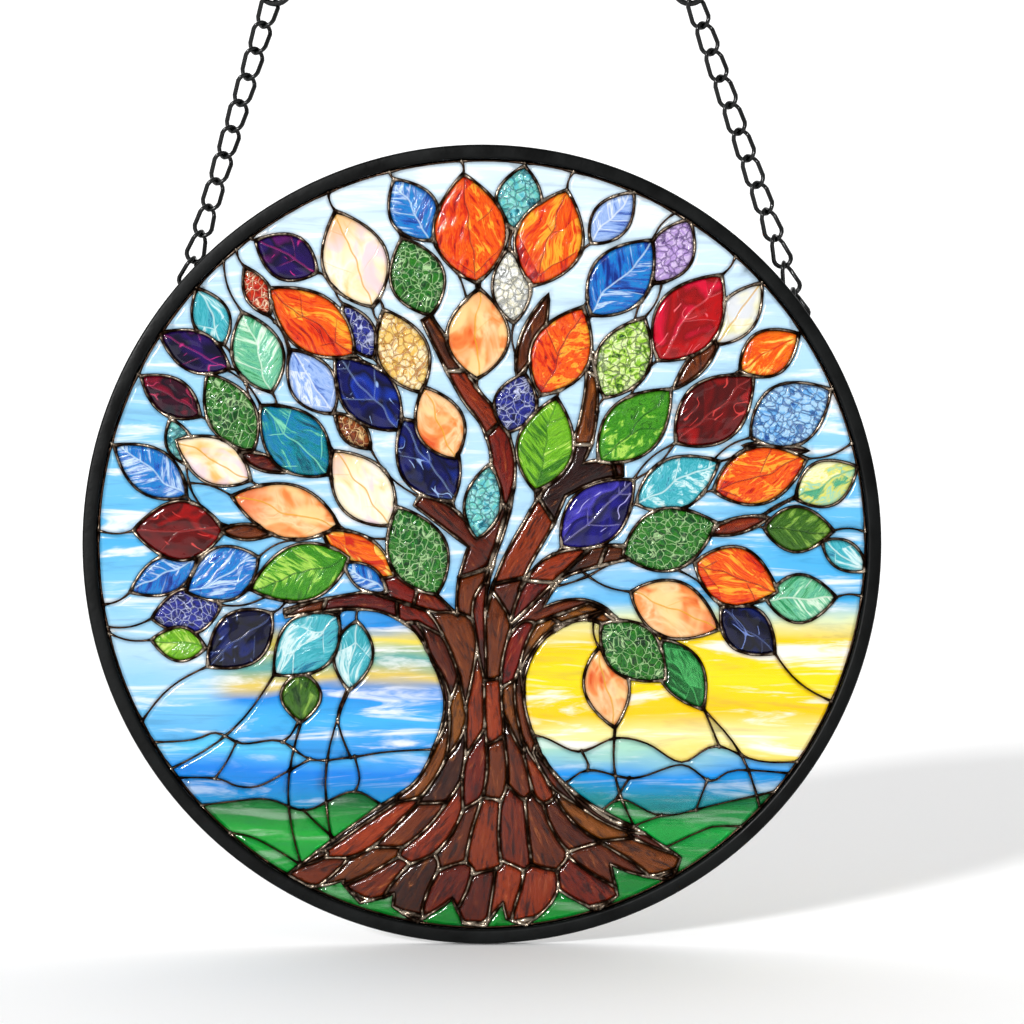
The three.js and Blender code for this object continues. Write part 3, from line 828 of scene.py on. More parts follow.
# %% List the kinds of leaf glass
GLASS = {"Transmission_Weight": 0.6, "IOR": 1.5, "Roughness": 0.1, "Specular_IOR_Level": 0.3}
RECIPES = {
    "cream": ("opal", (248, 190, 104), (255, 234, 192), (255, 248, 232), (240, 214, 226)),
    "white_opal": ("opal", (228, 222, 140), (242, 238, 204), (250, 248, 232), (222, 226, 236)),
    "peach": ("opal", (226, 98, 36), (246, 160, 92), (254, 216, 168), (255, 222, 160)),
    "lemon": ("streaky", (92, 176, 140), (234, 226, 110), (252, 250, 214), (150, 212, 196)),
    "flame": ("streaky", (150, 16, 4), (226, 62, 8), (255, 190, 60), (242, 116, 22)),
    "honey": ("streaky", (204, 44, 4), (244, 128, 12), (255, 226, 110), (232, 84, 10)),
    "ember_crackle": ("crackle", (150, 26, 10), (226, 78, 26), (255, 226, 190), (196, 44, 20)),
    "ruby": ("deep", (84, 3, 6), (122, 6, 10), (226, 84, 80), (170, 14, 16)),
    "scarlet": ("deep", (150, 3, 18), (196, 8, 24), (255, 128, 136), (226, 20, 70)),
    "garnet": ("deep", (22, 4, 36), (70, 8, 44), (206, 70, 110), (140, 14, 54)),
    "violet": ("deep", (18, 6, 54), (52, 16, 106), (222, 60, 150), (104, 20, 110)),
    "cobalt": ("deep", (4, 8, 52), (12, 26, 108), (170, 200, 244), (30, 66, 172)),
    "navy": ("deep", (3, 5, 28), (10, 18, 66), (130, 152, 214), (22, 44, 116)),
    "indigo": ("deep", (18, 14, 78), (42, 36, 138), (196, 190, 244), (84, 76, 190)),
    "indigo_crackle": ("crackle", (10, 12, 70), (36, 42, 132), (208, 214, 242), (60, 70, 170)),
    "periwinkle": ("streaky", (70, 104, 186), (146, 178, 232), (238, 244, 253), (176, 200, 240)),
    "azure": ("streaky", (12, 52, 138), (38, 110, 198), (210, 234, 250), (30, 146, 210)),
    "azure_crackle": ("crackle", (116, 178, 230), (164, 210, 242), (34, 84, 156), (190, 222, 246)),
    "lilac_crackle": ("crackle", (200, 174, 224), (226, 208, 240), (88, 56, 126), (180, 150, 212)),
    "aqua": ("streaky", (14, 124, 156), (98, 196, 208), (230, 248, 246), (52, 168, 180)),
    "aqua_crackle": ("crackle", (104, 198, 208), (168, 226, 230), (14, 102, 122), (130, 208, 190)),
    "teal": ("streaky", (4, 76, 104), (12, 148, 156), (150, 228, 190), (20, 128, 186)),
    "mint": ("streaky", (40, 150, 96), (132, 206, 164), (234, 247, 230), (90, 180, 150)),
    "lime": ("streaky", (60, 124, 14), (136, 196, 44), (222, 240, 140), (104, 170, 30)),
    "grass": ("streaky", (16, 84, 8), (84, 164, 30), (190, 228, 104), (52, 132, 20)),
    "olive": ("streaky", (30, 68, 10), (76, 124, 30), (150, 188, 84), (52, 98, 20)),
    "emerald": ("streaky", (2, 56, 22), (10, 112, 50), (84, 184, 106), (6, 84, 36)),
    "green_crackle": ("crackle", (4, 54, 24), (26, 112, 44), (190, 226, 166), (60, 140, 40)),
    "lime_crackle": ("crackle", (150, 202, 60), (206, 234, 124), (24, 76, 12), (238, 248, 196)),
    "gold_crackle": ("crackle", (244, 216, 140), (252, 240, 206), (190, 118, 28), (236, 190, 92)),
    "amber_crackle": ("crackle", (96, 42, 12), (170, 92, 36), (242, 208, 150), (130, 60, 20)),
    "white_crackle": ("crackle", (238, 240, 240), (252, 250, 244), (150, 152, 148), (226, 220, 190)),
}
print(len(RECIPES), "kinds of leaf glass")

# %% [markdown]
# A leaf's lines follow its UV map. A midrib wavers from the stem to the tip, and side veins lean forward
# from it like the barbs of a feather and part the leaf into fields that differ in tone. Noise hides some of
# the side veins. They could be modelled, but on the panel they are colour in the glass with hardly any
# relief, so the material draws them. Next to the lead all glass is painted a little darker, partly as
# painted shade beside the raised bead and partly because dirt and patina gather there.

# %% Draw veins and edges on the glass
MIDRIB_SWAY, BARB_LEAN = 0.22, 0.9
FIELDS_PER_UNIT, FIELD_SWAY = 1.9, 0.3
MIDRIB_EDGE, SIDE_VEIN_EDGE = (0.005, 0.016), (0.010, 0.028)
SHADE_START, SHADE_END = 0.25, 0.95
# Painted shade and dirt next to the lead: the near black that glass is mixed towards there.
EDGE_SHADE_AND_DIRT = (0.01, 0.006, 0.004, 1)


def grain_map(finish):
    along, across, _ = finish.parts(finish.node("UVMap", {"uv_map": "grain"}))
    tone = finish.node("Attribute", {"attribute_name": "tone"}, None, 2)
    rise = finish.node("Attribute", {"attribute_name": "rise"}, None, 2)
    return along, across, tone, rise


# Painted shade and dirt: the colour is darkened where the glass lies close to the lead.
def shade_and_dirt_at_edges(finish, painted, rise, strength):
    return finish.mix((1 - finish.ease(rise, SHADE_START, SHADE_END)) * strength, painted, EDGE_SHADE_AND_DIRT)


def leaf_lines(finish, along, across, tone):
    sway = finish.noise(finish.join(along, tone * 40, 0.0), 2.2, 1.0) - 0.5
    swayed = across + sway * MIDRIB_SWAY
    from_midrib = abs(swayed)
    barb = along - from_midrib * BARB_LEAN
    fields = (barb + sway * FIELD_SWAY) * FIELDS_PER_UNIT + tone
    side_place = finish.maths("FRACT", fields)
    half = finish.maths("GREATER_THAN", swayed, 0.0)
    field = finish.maths("FLOOR", fields - 0.5) * 1.7 + half * 5.3 + tone * 37
    field_tone = finish.noise(finish.join(field, tone * 7, 3.0), 3.1, 0.0)
    midrib = 1 - finish.ease(from_midrib, *MIDRIB_EDGE)
    side_vein = 1 - finish.ease(abs(side_place - 0.5), *SIDE_VEIN_EDGE)
    shown = finish.ease(finish.noise(finish.join(barb, across * 2, tone * 53), 1.6, 1.0), 0.44, 0.54)
    return from_midrib, barb, field_tone, midrib, side_vein * shown


print("a leaf has about", FIELDS_PER_UNIT, "fields on each side in", UV_UNIT, "mm")

# %% [markdown]
# Streaky glass is stirred from several colours while it is hot. An image could show its threads, but they
# would be the same on every leaf. Noise that is stretched along or across the barbs, as the tone number
# says, differs from leaf to leaf. The veins are pale where the glass has more blue than red, and dark
# elsewhere.

# %% Make the streaky glass
RELIEF = 0.0008
leaf_glass = {}


def make_kinds(make, paint_glass):
    kinds = [kind for kind, recipe in RECIPES.items() if recipe[0] == make]
    for kind in kinds:
        shades = map(glass_colour, RECIPES[kind][1:])
        leaf_glass[kind] = paint_glass(Finish(kind + "_glass", **GLASS), *shades)
    print(len(kinds), "kinds of", make, "glass made")


def streaky_glass(finish, dark, main, light, tint):
    along, across, tone, rise = grain_map(finish)
    from_midrib, barb, field_tone, midrib, side_veins = leaf_lines(finish, along, across, tone)
    veins = finish.maths("MAXIMUM", midrib, side_veins)
    lean = finish.ease(tone, 0.2, 0.8, 0.5, 5.0)
    weave = finish.join(barb * lean + tone * 31, (from_midrib + barb * 0.25) * (6 - lean), tone * 17)
    threads = finish.noise(weave, 2.6, 5.0, 0.65, 0.5)
    drift = finish.noise(finish.join(along, across, tone * 23), 2.0, 2.0, 0.5, 0.8)
    streaks = [(0.34, dark), (0.43, main), (0.49, tint), (0.54, main), (0.62, light), (0.70, main)]
    shade = finish.ramp((threads * 0.55 + drift * 0.20 + field_tone * 0.25) * 1.5 - 0.25, streaks)
    is_cool = main[2] > main[0]
    painted = finish.mix(veins * 0.65, shade, light if is_cool else dark)
    height = threads - veins * 0.6
    return finish.finish(shade_and_dirt_at_edges(finish, painted, rise, 0.5), None, finish.bump(height, 0.45, RELIEF))


make_kinds("streaky", streaky_glass)

# %% [markdown]
# Deep glass is dark, with lighter pools and thin bright lines that are painted glints, reflections on its
# glossy face. Such a painted glint is the narrow band where noise passes one value, like a contour line on a
# map, because that stays thin and smooth at any size. A second noise shows only some of the glints.

# %% Make the deep glass


def deep_glass(finish, dark, main, light, tint):
    along, across, tone, rise = grain_map(finish)
    _, _, field_tone, midrib, side_veins = leaf_lines(finish, along, across, tone)
    veins = finish.maths("MAXIMUM", midrib, side_veins)
    pools = finish.noise(finish.join(along, across * 1.4, tone * 29), 2.0, 1.0, 0.4, 0.9)
    flow = finish.noise(finish.join(along * 1.2, across * 2, tone * 19), 2.4, 0.5, 0.4, 0.5)
    shades = [(0.34, dark), (0.45, main), (0.52, dark), (0.60, tint), (0.72, main)]
    body = finish.ramp(pools * 0.7 + field_tone * 0.3, shades)
    shown = finish.ease(finish.noise(finish.join(across * 2, along * 2, tone * 71), 2.6, 0.0), 0.55, 0.62)
    # Painted glints: thin bright lines mixed into the colour of the glass.
    painted_glint = (1 - finish.ease(abs(flow - 0.5), 0.004, 0.020)) * shown
    with_painted_glints = finish.mix(painted_glint * 0.9, body, light)
    painted = finish.mix(veins * 0.25, with_painted_glints, light)
    height = flow * 2 + veins * 0.5
    return finish.finish(shade_and_dirt_at_edges(finish, painted, rise, 0.5), None, finish.bump(height, 0.45, RELIEF))


make_kinds("deep", deep_glass)

# %% [markdown]
# Opal glass is milky, with tinted clouds, a warmer tip and a golden midrib. Light that scatters inside the
# glass could make the milk, but it renders slowly, so pale colours that drift into each other stand for it.

# %% Make the opal glass
VEIN_GOLD = colour(216, 160, 34)


def opal_glass(finish, dark, main, light, tint):
    along, across, tone, rise = grain_map(finish)
    _, _, _, midrib, side_veins = leaf_lines(finish, along, across, tone)
    veins = finish.maths("MAXIMUM", midrib, side_veins * 0.35)
    drift = finish.noise(finish.join(along, across * 1.6, tone * 37), 1.8, 3.0, 0.5, 1.0)
    clouds = finish.noise(finish.join(along * 0.8, across, tone * 61), 1.9, 2.0, 0.5, 1.2)
    milk = finish.ramp(drift, [(0.30, dark), (0.43, main), (0.56, light), (0.70, main)])
    tinted = finish.mix(finish.ease(clouds, 0.47, 0.62) * 0.8, milk, tint)
    warm = finish.mix(finish.ease(along + drift * 0.5, 1.05, 1.5) * 0.75, tinted, dark)
    painted = finish.mix(veins * 0.75, warm, VEIN_GOLD)
    height = drift - veins * 0.5
    return finish.finish(shade_and_dirt_at_edges(finish, painted, rise, 0.4), None, finish.bump(height, 0.35, RELIEF))


make_kinds("opal", opal_glass)

# %% [markdown]
# Crackle glass was dipped in water while it was hot, so a net of fine cracks, pale or dark, runs through it
# and its face is rough. Cracks in the mesh would take thousands of faces on each leaf. A cell texture tells
# how far a place is from the border between two cells instead, and the net is where that distance is small.

# %% Make the crackle glass
CRACKLE_RELIEF = 0.001


def crackle_glass(finish, dark, main, light, tint):
    along, across, tone, rise = grain_map(finish)
    wobble = finish.noise(finish.join(along, across, tone * 11), 6.0, 2.0) - 0.5
    place = finish.join(along + wobble * 0.16, across - wobble * 0.16, tone * 13)
    cracks = finish.node("TexVoronoi", {"feature": "DISTANCE_TO_EDGE"}, {"Vector": place, "Scale": 11.0})
    shards = finish.noise(place, 9.0, 3.0, 0.6, 0.6)
    body = finish.ramp(shards, [(0.36, dark), (0.46, tint), (0.54, main), (0.60, dark), (0.68, light)])
    net = 1 - finish.ease(cracks, 0.02, 0.09)
    painted = finish.mix(net * 0.8, body, light)
    rough = net * 0.2 + 0.1
    relief = finish.bump(shards - net * 0.8, 0.7, CRACKLE_RELIEF)
    return finish.finish(shade_and_dirt_at_edges(finish, painted, rise, 0.5), rough, relief)


make_kinds("crackle", crackle_glass)

# %% [markdown]
# The bark is brown streaky glass, cut from several sheets. A material for every sheet could do that, but
# one ramp of browns is shorter: the tone number of a piece picks its brown. Noise that is stretched along
# the strand gives the streaks.

# %% Make the bark glass
BARK_SHINE, BARK_RELIEF = 0.15, 0.0005
BARK_SHADOW, BARK_GLOW = colour(20, 6, 4), colour(236, 140, 70)
BARK_SHEETS = [(0.0, (50, 14, 4)), (0.16, (116, 58, 12)), (0.34, (130, 26, 8)), (0.50, (86, 42, 6)),
               (0.66, (164, 64, 12)), (0.84, (102, 16, 4)), (1.0, (150, 92, 20))]


def bark_glass():
    finish = Finish("bark_glass", **GLASS | {"Specular_IOR_Level": BARK_SHINE})
    along, across, tone, rise = grain_map(finish)
    grain = finish.noise(finish.join(along * 1.5 + tone * 41, across * 9, tone * 13), 2.2, 5.0, 0.65, 1.0)
    sheet = finish.ramp(tone, [(place, glass_colour(shade)) for place, shade in BARK_SHEETS])
    dark = finish.mix(0.85, sheet, BARK_SHADOW)
    bright = finish.mix(0.4, sheet, BARK_GLOW)
    lit = finish.mix(finish.ease(grain, 0.36, 0.52), dark, sheet)
    streaked = finish.mix(finish.ease(grain, 0.57, 0.70) * 0.7, lit, bright)
    return finish.finish(shade_and_dirt_at_edges(finish, streaked, rise, 0.8), None, finish.bump(grain, 0.3, BARK_RELIEF))


region_glass = {"bark_panes": bark_glass()}
print(len(BARK_SHEETS), "browns in the bark")

# %% [markdown]
# Sky, water and meadow are wispy glass whose colour follows the height in the picture, with white wisps
# that lie level. The horizon glows yellow to the right of the trunk, and only in bands to its left. The sky
# is palest behind the crown. A map on each piece would start afresh at every lead line, so these glasses
# read the place in the object, and their colours run on from piece to piece.

# %% Make the landscape glasses
FAR_SKY = [(-85, (60, 168, 236)), (-60, (120, 200, 244)), (-40, (190, 226, 248)), (-18, (130, 204, 242)),
           (0, (84, 184, 238)), (35, (126, 202, 242)), (90, (190, 226, 250)), (140, (226, 242, 253))]
LEFT_SKY = [(-85, (14, 124, 222)), (-66, (70, 184, 244)), (-56, (16, 138, 230)), (-51, (236, 206, 96)),
            (-45, (84, 170, 170)), (-38, (252, 226, 80)), (-31, (8, 142, 226)), (-15, (80, 184, 240)),
            (35, (126, 202, 245)), (90, (190, 226, 250)), (140, (226, 242, 253))]
RIGHT_SKY = [(-85, (254, 216, 40)), (-73, (255, 244, 170)), (-64, (255, 208, 2)), (-50, (255, 228, 4)),
             (-37, (250, 212, 10)), (-28, (226, 236, 190)), (-20, (64, 178, 238)), (10, (98, 190, 240)),
             (40, (146, 210, 246)), (90, (200, 230, 250)), (140, (228, 243, 254))]
LEFT_WATER = [(-104, (4, 120, 130)), (-96, (14, 140, 200)), (-86, (10, 132, 232)), (-76, (96, 204, 250))]
RIGHT_WATER = [(-104, (4, 116, 80)), (-95, (8, 136, 150)), (-86, (22, 152, 240)), (-76, (176, 226, 204))]
LEFT_MEADOW = [(-145, (4, 124, 40)), (-124, (4, 146, 52)), (-108, (16, 166, 52)), (-96, (2, 96, 46))]
RIGHT_MEADOW = [(-145, (10, 150, 50)), (-124, (2, 124, 46)), (-108, (14, 164, 66)), (-92, (2, 94, 52))]
SKY_HAZE, WISP_WHITE, DEEP_BLUE = colour(214, 236, 250), (1, 1, 1, 1), (0, 0.04, 0.12, 1)
SWIRL_HEIGHT, SWIRL_WIDTH, COLUMN_BLEND = 16, 40, 9.0
HAZE_WIDTH, HAZE_HEIGHT = (30.0, 120.0), (-35.0, 5.0)
LEFT_START, RIGHT_START = -92, 0
SKY_WISPS, WATER_WISPS, MEADOW_WISPS = 0.85, 0.4, 0.2


def height_ramp(finish, height, stops):
    low, high = stops[0][0], stops[-1][0]
    amount = (height - low) / (high - low)
    return finish.ramp(amount, [((place - low) / (high - low), colour(*shade)) for place, shade in stops])


def landscape_glass(name, wisp_amount, first_stops, *columns):
    finish = Finish(name, **GLASS)
    x, _, z = finish.place()
    u, v = x / MM, (z - middle.z) / MM
    _, _, _, rise = grain_map(finish)
    swirl = finish.noise(finish.join(u * 0.012, v * 0.05, 0.0), 1.0, 3.0, 0.55, 0.6) - 0.5
    height = v + swirl * SWIRL_HEIGHT
    shore = height_ramp(finish, height, first_stops)
    for start, stops in columns:
        side = finish.ease(u + swirl * SWIRL_WIDTH, start - COLUMN_BLEND, start + COLUMN_BLEND)
        shore = finish.mix(side, shore, height_ramp(finish, height, stops))
    haze = (1 - finish.ease(abs(u), *HAZE_WIDTH)) * finish.ease(v, *HAZE_HEIGHT)
    body = finish.mix(haze * 0.6, shore, SKY_HAZE)
    wisps = finish.noise(finish.join(u * 0.018, v * 0.16, 5.0), 1.0, 5.0, 0.62, 0.8)
    white = finish.ease(wisps, 0.50, 0.66) * wisp_amount
    painted = finish.mix(white, body, WISP_WHITE)
    deep = finish.mix(0.5, body, DEEP_BLUE)
    deepened = finish.mix(finish.ease(wisps, 0.46, 0.32) * 0.4, painted, deep)
    return finish.finish(shade_and_dirt_at_edges(finish, deepened, rise, 0.35), None, finish.bump(wisps, 0.3, RELIEF))


sky_columns = (LEFT_START, LEFT_SKY), (RIGHT_START, RIGHT_SKY)
water_column, meadow_column = (RIGHT_START, RIGHT_WATER), (RIGHT_START, RIGHT_MEADOW)
region_glass |= {
    "sky_panes": landscape_glass("sky_glass", SKY_WISPS, FAR_SKY, *sky_columns),
    "water_panes": landscape_glass("water_glass", WATER_WISPS, LEFT_WATER, water_column),
    "meadow_panes": landscape_glass("meadow_glass", MEADOW_WISPS, LEFT_MEADOW, meadow_column),
}
print(len(region_glass), "glasses for the tree and the landscape")

# %% [markdown]
# Now the pieces become objects. A leaf of the solids is one object of its own, and so is each small leaf.
# The many pieces of bark, sky, water and meadow are gathered in one object each.

# %% Put the glass in place
root_nodes = list(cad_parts)
leaf_named = {leaf.name: leaf for leaf in leaves}


def finish_object(name, mesh, material, nodes):
    mesh.materials.clear()
    mesh.materials.append(material)
    piece = bpy.data.objects.new(name, mesh)
    bpy.context.scene.collection.objects.link(piece)
    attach(piece, "root")
    if nodes:
        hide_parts(*nodes)


def joined_mesh(name, meshes):
    whole = bmesh.new()
    for mesh in meshes:
        whole.from_mesh(mesh)
    bmesh.ops.transform(whole, matrix=to_panel, verts=whole.verts)
    return as_mesh(name, whole)


for name, meshes in panes.items():
    mesh = joined_mesh(name, meshes)
    if name in region_glass:
        slot = name.removesuffix("_panes")
        nodes = [node for node in root_nodes if node.startswith(slot + "_glass_")]
        finish_object(name, mesh, region_glass[name], nodes)
    else:
        leaf = leaf_named[name]
        piece_name = name.replace("_leaf_", "_leaf_glass_")
        finish_object(piece_name, mesh, leaf_glass[leaf.kind], leaf.nodes)
print(len(panes), "objects of glass")

# %% [markdown]
# Beads of solder and bent wire both have a round section that follows a path. A circle could be extruded
# step by step, but a Blender curve does that by itself: it is given a round section, every point on its
# path has its own thickness, and the result is turned into a mesh.

# %% Make tubes from paths


def tube_mesh(name, paths, radius, roundness, closed=False):
    curve = bpy.data.curves.new(name, "CURVE")
    curve.dimensions = "3D"
    curve.bevel_depth = radius
    curve.bevel_resolution = roundness
    curve.use_fill_caps = True
    for path in paths:
        spline = curve.splines.new("POLY")
        spline.points.add(len(path) - 1)
        spline.use_cyclic_u = closed
        for point, (place, swelling) in zip(spline.points, path):
            point.co = (*place, 1)
            point.radius = swelling
    holder = bpy.data.objects.new(name, curve)
    bpy.context.scene.collection.objects.link(holder)
    mesh = bpy.data.meshes.new_from_object(holder.evaluated_get(bpy.context.evaluated_depsgraph_get()))
    bpy.data.objects.remove(holder)
    bpy.data.curves.remove(curve)
    return mesh


print(len(lead_paths), "lead lines wait for their solder")

# %% [markdown]
# The lead is a bead of solder on every line, proud of the glass in front and behind. The bead follows its
# path, swells towards the joints and wavers a little, as hand-run solder does. Stretched in depth, its
# section becomes an oval, and the stretch levels off so that no bead stands out past the rim.

# %% Run the beads of solder
LEAD_WIDTH, LEAD_ROUNDNESS = 1.5, 2
JOINT_SWELL, SWELL_REACH, WAVER = 0.35, 1.8, 0.08
STEEPNESS, TALLEST = 1.25, 3.3
MERGE = 0.001


def bead_path(path, width):
    lengths = [0.0]
    for start, end in zip(path, path[1:]):
        lengths.append(lengths[-1] + (end - start).length)
    bead = []
    for place, length in zip(path, lengths):
        to_joint = min(length, lengths[-1] - length)
        swelling = 1 + JOINT_SWELL * math.exp(-((to_joint / SWELL_REACH) ** 2))
        bead.append((place, width * swelling * chance.uniform(1 - WAVER, 1 + WAVER)))
    return bead


lead = bmesh.new()
beads = [bead_path(*path) for path in lead_paths]
lead.from_mesh(tube_mesh("beads", beads, LEAD_WIDTH / 2, LEAD_ROUNDNESS))
bmesh.ops.remove_doubles(lead, verts=lead.verts, dist=MERGE)
for corner in lead.verts:
    corner.co.z = TALLEST * math.tanh(STEEPNESS * corner.co.z * lead_depth / LEAD_WIDTH / TALLEST)
print(len(lead.faces), "faces in the beads")

# %% [markdown]
# Where lead lines meet, the solder gathers to a drop. A boolean could blend the beads there, but they are
# all one metal, so a ball that is stretched in depth and stuck over their ends hides the seams with few
# faces. The slivers become plates of lead as thick as the glass.

# %% Close the joints and the slivers
DROP_WIDTH, DROP_RISE, DROP_SCATTER = 2.3, 0.6, 0.15
DROP_SEGMENTS, DROP_RINGS = 8, 6
drop = bmesh.new()
bmesh.ops.create_uvsphere(drop, u_segments=DROP_SEGMENTS, v_segments=DROP_RINGS, radius=1)
round_drop = as_mesh("drop", drop)
for place in joint_places:
    size = DROP_WIDTH / 2 * chance.uniform(1 - DROP_SCATTER, 1 + DROP_SCATTER)
    stretching = Matrix.Diagonal((size, size, lead_depth / 2 + DROP_RISE, 1))
    joint_drop = round_drop.copy()
    joint_drop.transform(Matrix.Translation(place) @ stretching)
    lead.from_mesh(joint_drop)
for faces in slivers:
    sliver = bmesh.new()
    for outline in faces:
        sliver.faces.new([sliver.verts.new(place) for place in outline])
    bmesh.ops.remove_doubles(sliver, verts=sliver.verts, dist=MERGE)
    raise_plate(sliver)
    lead.from_mesh(as_mesh("sliver", sliver))
smooth_outwards(lead)
bmesh.ops.transform(lead, matrix=to_panel, verts=lead.verts)
lead_mesh = as_mesh("leading_beads", lead)
print(len(lead_mesh.polygons), "faces in the lead")

# %% [markdown]
# Solder that was darkened with patina is nearly black next to the glass. Along the crest of each bead it is
# painted bright, partly as metal rubbed clean there and partly as a painted highlight. A painted mask could
# hold the crests, but they are simply what lies farthest from the panel's middle, so the place in the object
# finds them. Noise breaks the bright line up, and a fine bump does so with the glints.

# %% Finish the lead
CREST_START, CREST_END = 0.46, 0.52
RUB_AND_HIGHLIGHT_SHARE = 0.65
SOLDER_RELIEF = 0.0006


def patina_lead():
    finish = Finish("patina_lead", Metallic=1.0)
    x, y, z = finish.place()
    place = finish.join(x, y, z)
    worn = finish.noise(place, 150.0, 3.0, 0.6)
    lumps = finish.noise(place, 900.0, 3.0, 0.6)
    crest_wear_and_highlight = finish.ease(abs(y - middle.y) / MM, lead_depth * CREST_START, lead_depth * CREST_END)
    patina = finish.ramp(worn, [(0.40, colour(26, 18, 13)), (0.62, colour(66, 50, 40))])
    rubbed_and_highlit = finish.ramp(worn, [(0.38, colour(60, 46, 36)), (0.64, colour(196, 180, 160))])
    # The crest is painted bright: metal rubbed clean there, and a painted highlight.
    body = finish.mix(crest_wear_and_highlight * finish.ease(worn, 0.44, 0.60) * RUB_AND_HIGHLIGHT_SHARE, patina, rubbed_and_highlit)
    rough = finish.ease(worn, 0.3, 0.7, 0.42, 0.24)
    return finish.finish(body, rough, finish.bump(lumps, 0.35, SOLDER_RELIEF))


finish_object("leading_beads", lead_mesh, patina_lead(), ["leading"])
print("solder is rubbed bright from", round(lead_depth * CREST_START, 2), "mm off the panel's middle on")

# %% [markdown]
# The rim and the chains have black enamel, glossier on the chains. One even black would look like a hole in
# the picture, so noise varies its depth and its gloss in patches, and a fine bump stands for the marks of
# the brush.

# %% Mix the black enamels
ENAMEL_RELIEF = 0.0005


def black_enamel(name, shine, smoothest, roughest):
    finish = Finish(name, Specular_IOR_Level=shine)
    place = finish.join(*finish.place())
    brushing = finish.noise(place, 340.0, 4.0, 0.6)
    patches = finish.noise(place, 60.0, 3.0, 0.5)
    body = finish.ramp(patches, [(0.35, colour(4, 6, 6)), (0.65, colour(16, 18, 18))])
    rough = finish.ease(patches, 0.3, 0.7, smoothest, roughest)
    return finish.finish(body, rough, finish.bump(brushing, 0.25, ENAMEL_RELIEF))


rim_black = black_enamel("rim_black", shine=0.12, smoothest=0.3, roughest=0.5)
chain_black = black_enamel("chain_black", shine=0.35, smoothest=0.16, roughest=0.3)
print("enamels mixed:", rim_black.name, "and", chain_black.name)

# %% [markdown]
# The rim is a black band with a groove inside. A torus would be round in section, and a groove cut with a
# boolean would leave rough edges. So the section is drawn once, the corners of its two faces are rounded,
# and a full spin round the panel's axis makes the ring.

# %% Spin the rim
RIM_FACE, RIM_GROOVE, GROOVE_PLAY = 5.3, 2.3, 0.4
RIM_STEPS = 200
RIM_ROUNDING, ROUNDING_STEPS = 1.1, 4
rim = bmesh.new()
face_half, groove_half = rim_depth / 2, glass_depth / 2 + GROOVE_PLAY
inner_radius = rim_radius - RIM_FACE
groove_radius = inner_radius + RIM_GROOVE
section = [
    (rim_radius, -face_half), (rim_radius, face_half), (inner_radius, face_half),
    (inner_radius, groove_half), (groove_radius, groove_half),
    (groove_radius, -groove_half), (inner_radius, -groove_half), (inner_radius, -face_half),
]
rim.faces.new([rim.verts.new((radius, 0, height)) for radius, height in section])
outer_corners = [corner for corner in rim.verts if abs(corner.co.z) > (groove_half + face_half) / 2]
bmesh.ops.bevel(rim, geom=outer_corners, offset=RIM_ROUNDING, affect="VERTICES", segments=ROUNDING_STEPS,
                profile=0.5, material=-1)
bmesh.ops.delete(rim, geom=list(rim.faces), context="FACES_ONLY")
bmesh.ops.spin(rim, geom=list(rim.edges), cent=(0, 0, 0), axis=(0, 0, 1), angle=2 * math.pi, steps=RIM_STEPS,
               use_merge=True)
bmesh.ops.remove_doubles(rim, verts=rim.verts, dist=MERGE)
smooth_outwards(rim)
bmesh.ops.transform(rim, matrix=to_panel, verts=rim.verts)
rim_mesh = as_mesh("rim_band", rim)
finish_object("rim_band", rim_mesh, rim_black, ["rim"])
print(len(rim_mesh.polygons), "faces in the rim")

# %% [markdown]
# In a curb chain every link is twisted a quarter turn along its length, so all links lie the same way. The
# wire could follow a twisted path at once, but it is simpler to make a flat link and then to turn each of
# its corners by how far along it lies. A link is made in millimetres and put in its place with three axes.

# %% Bend the links
WIRE, LINK_WIDTH = 1.8, 8.4
WIRE_ROUNDNESS, BEND_STEPS = 3, 8


def wire_link(half_length):
    bend = (LINK_WIDTH - WIRE) / 2
    straight = half_length - bend
    path = []
    for end in (1, -1):
        for step in range(BEND_STEPS + 1):
            turn = math.pi * step / BEND_STEPS
            place = Vector((bend * math.cos(turn), straight + bend * math.sin(turn), 0)) * end
            path.append((place, 1.0))
    return tube_mesh("link", [path], WIRE / 2, WIRE_ROUNDNESS, closed=True)


def twisted_link(half_length, first_turn):
    link = bmesh.new()
    link.from_mesh(wire_link(half_length))
    for corner in link.verts:
        along = (corner.co.y / half_length + 1) / 2
        corner.co = Matrix.Rotation(first_turn + along * math.pi / 2, 4, "Y") @ corner.co
    return as_mesh("link", link)


def axes_at(place, x_axis, y_axis, z_axis):
    turned = Matrix((x_axis, y_axis, z_axis)).transposed().to_4x4()
    return Matrix.Translation(place) @ turned @ Matrix.Scale(MM, 4)


def smooth_metal(name, meshes, nodes):
    metal = bmesh.new()
    for mesh in meshes:
        metal.from_mesh(mesh)
    bmesh.ops.remove_doubles(metal, verts=metal.verts, dist=MERGE * MM)
    smooth_outwards(metal)
    finish_object(name, as_mesh(name, metal), chain_black, nodes)


print("links are", LINK_WIDTH, "mm wide and made of", WIRE, "mm wire")

# %% [markdown]
# Each hanger is a wire loop on the back of the rim, a chain and an end ring. The frame tells where the loop
# and the ring are, and the links share out the way between them. The lowest link lies flat in its loop, and
# the ones above it turn round to the front bit by bit.

# %% Hang the chains
RING_WIRE, RING_STEPS = 2.2, 40
LINK_PITCH, LINK_BITE, PLAY = 10.7, 0.2, 0.45
LOOP_HALF_SPAN, LOOP_STEPS = 2.9, 4
LOOP_SHAPE = [(0, -1), (0.4, -1), (0.85, -0.7), (1, 0), (0.85, 0.7), (0.4, 1), (0, 1)]
TURN_LINKS = 4
front, back = Vector((0, -1, 0)), Vector((0, 1, 0))
rightwards, upwards = Vector((1, 0, 0)), Vector((0, 0, 1))


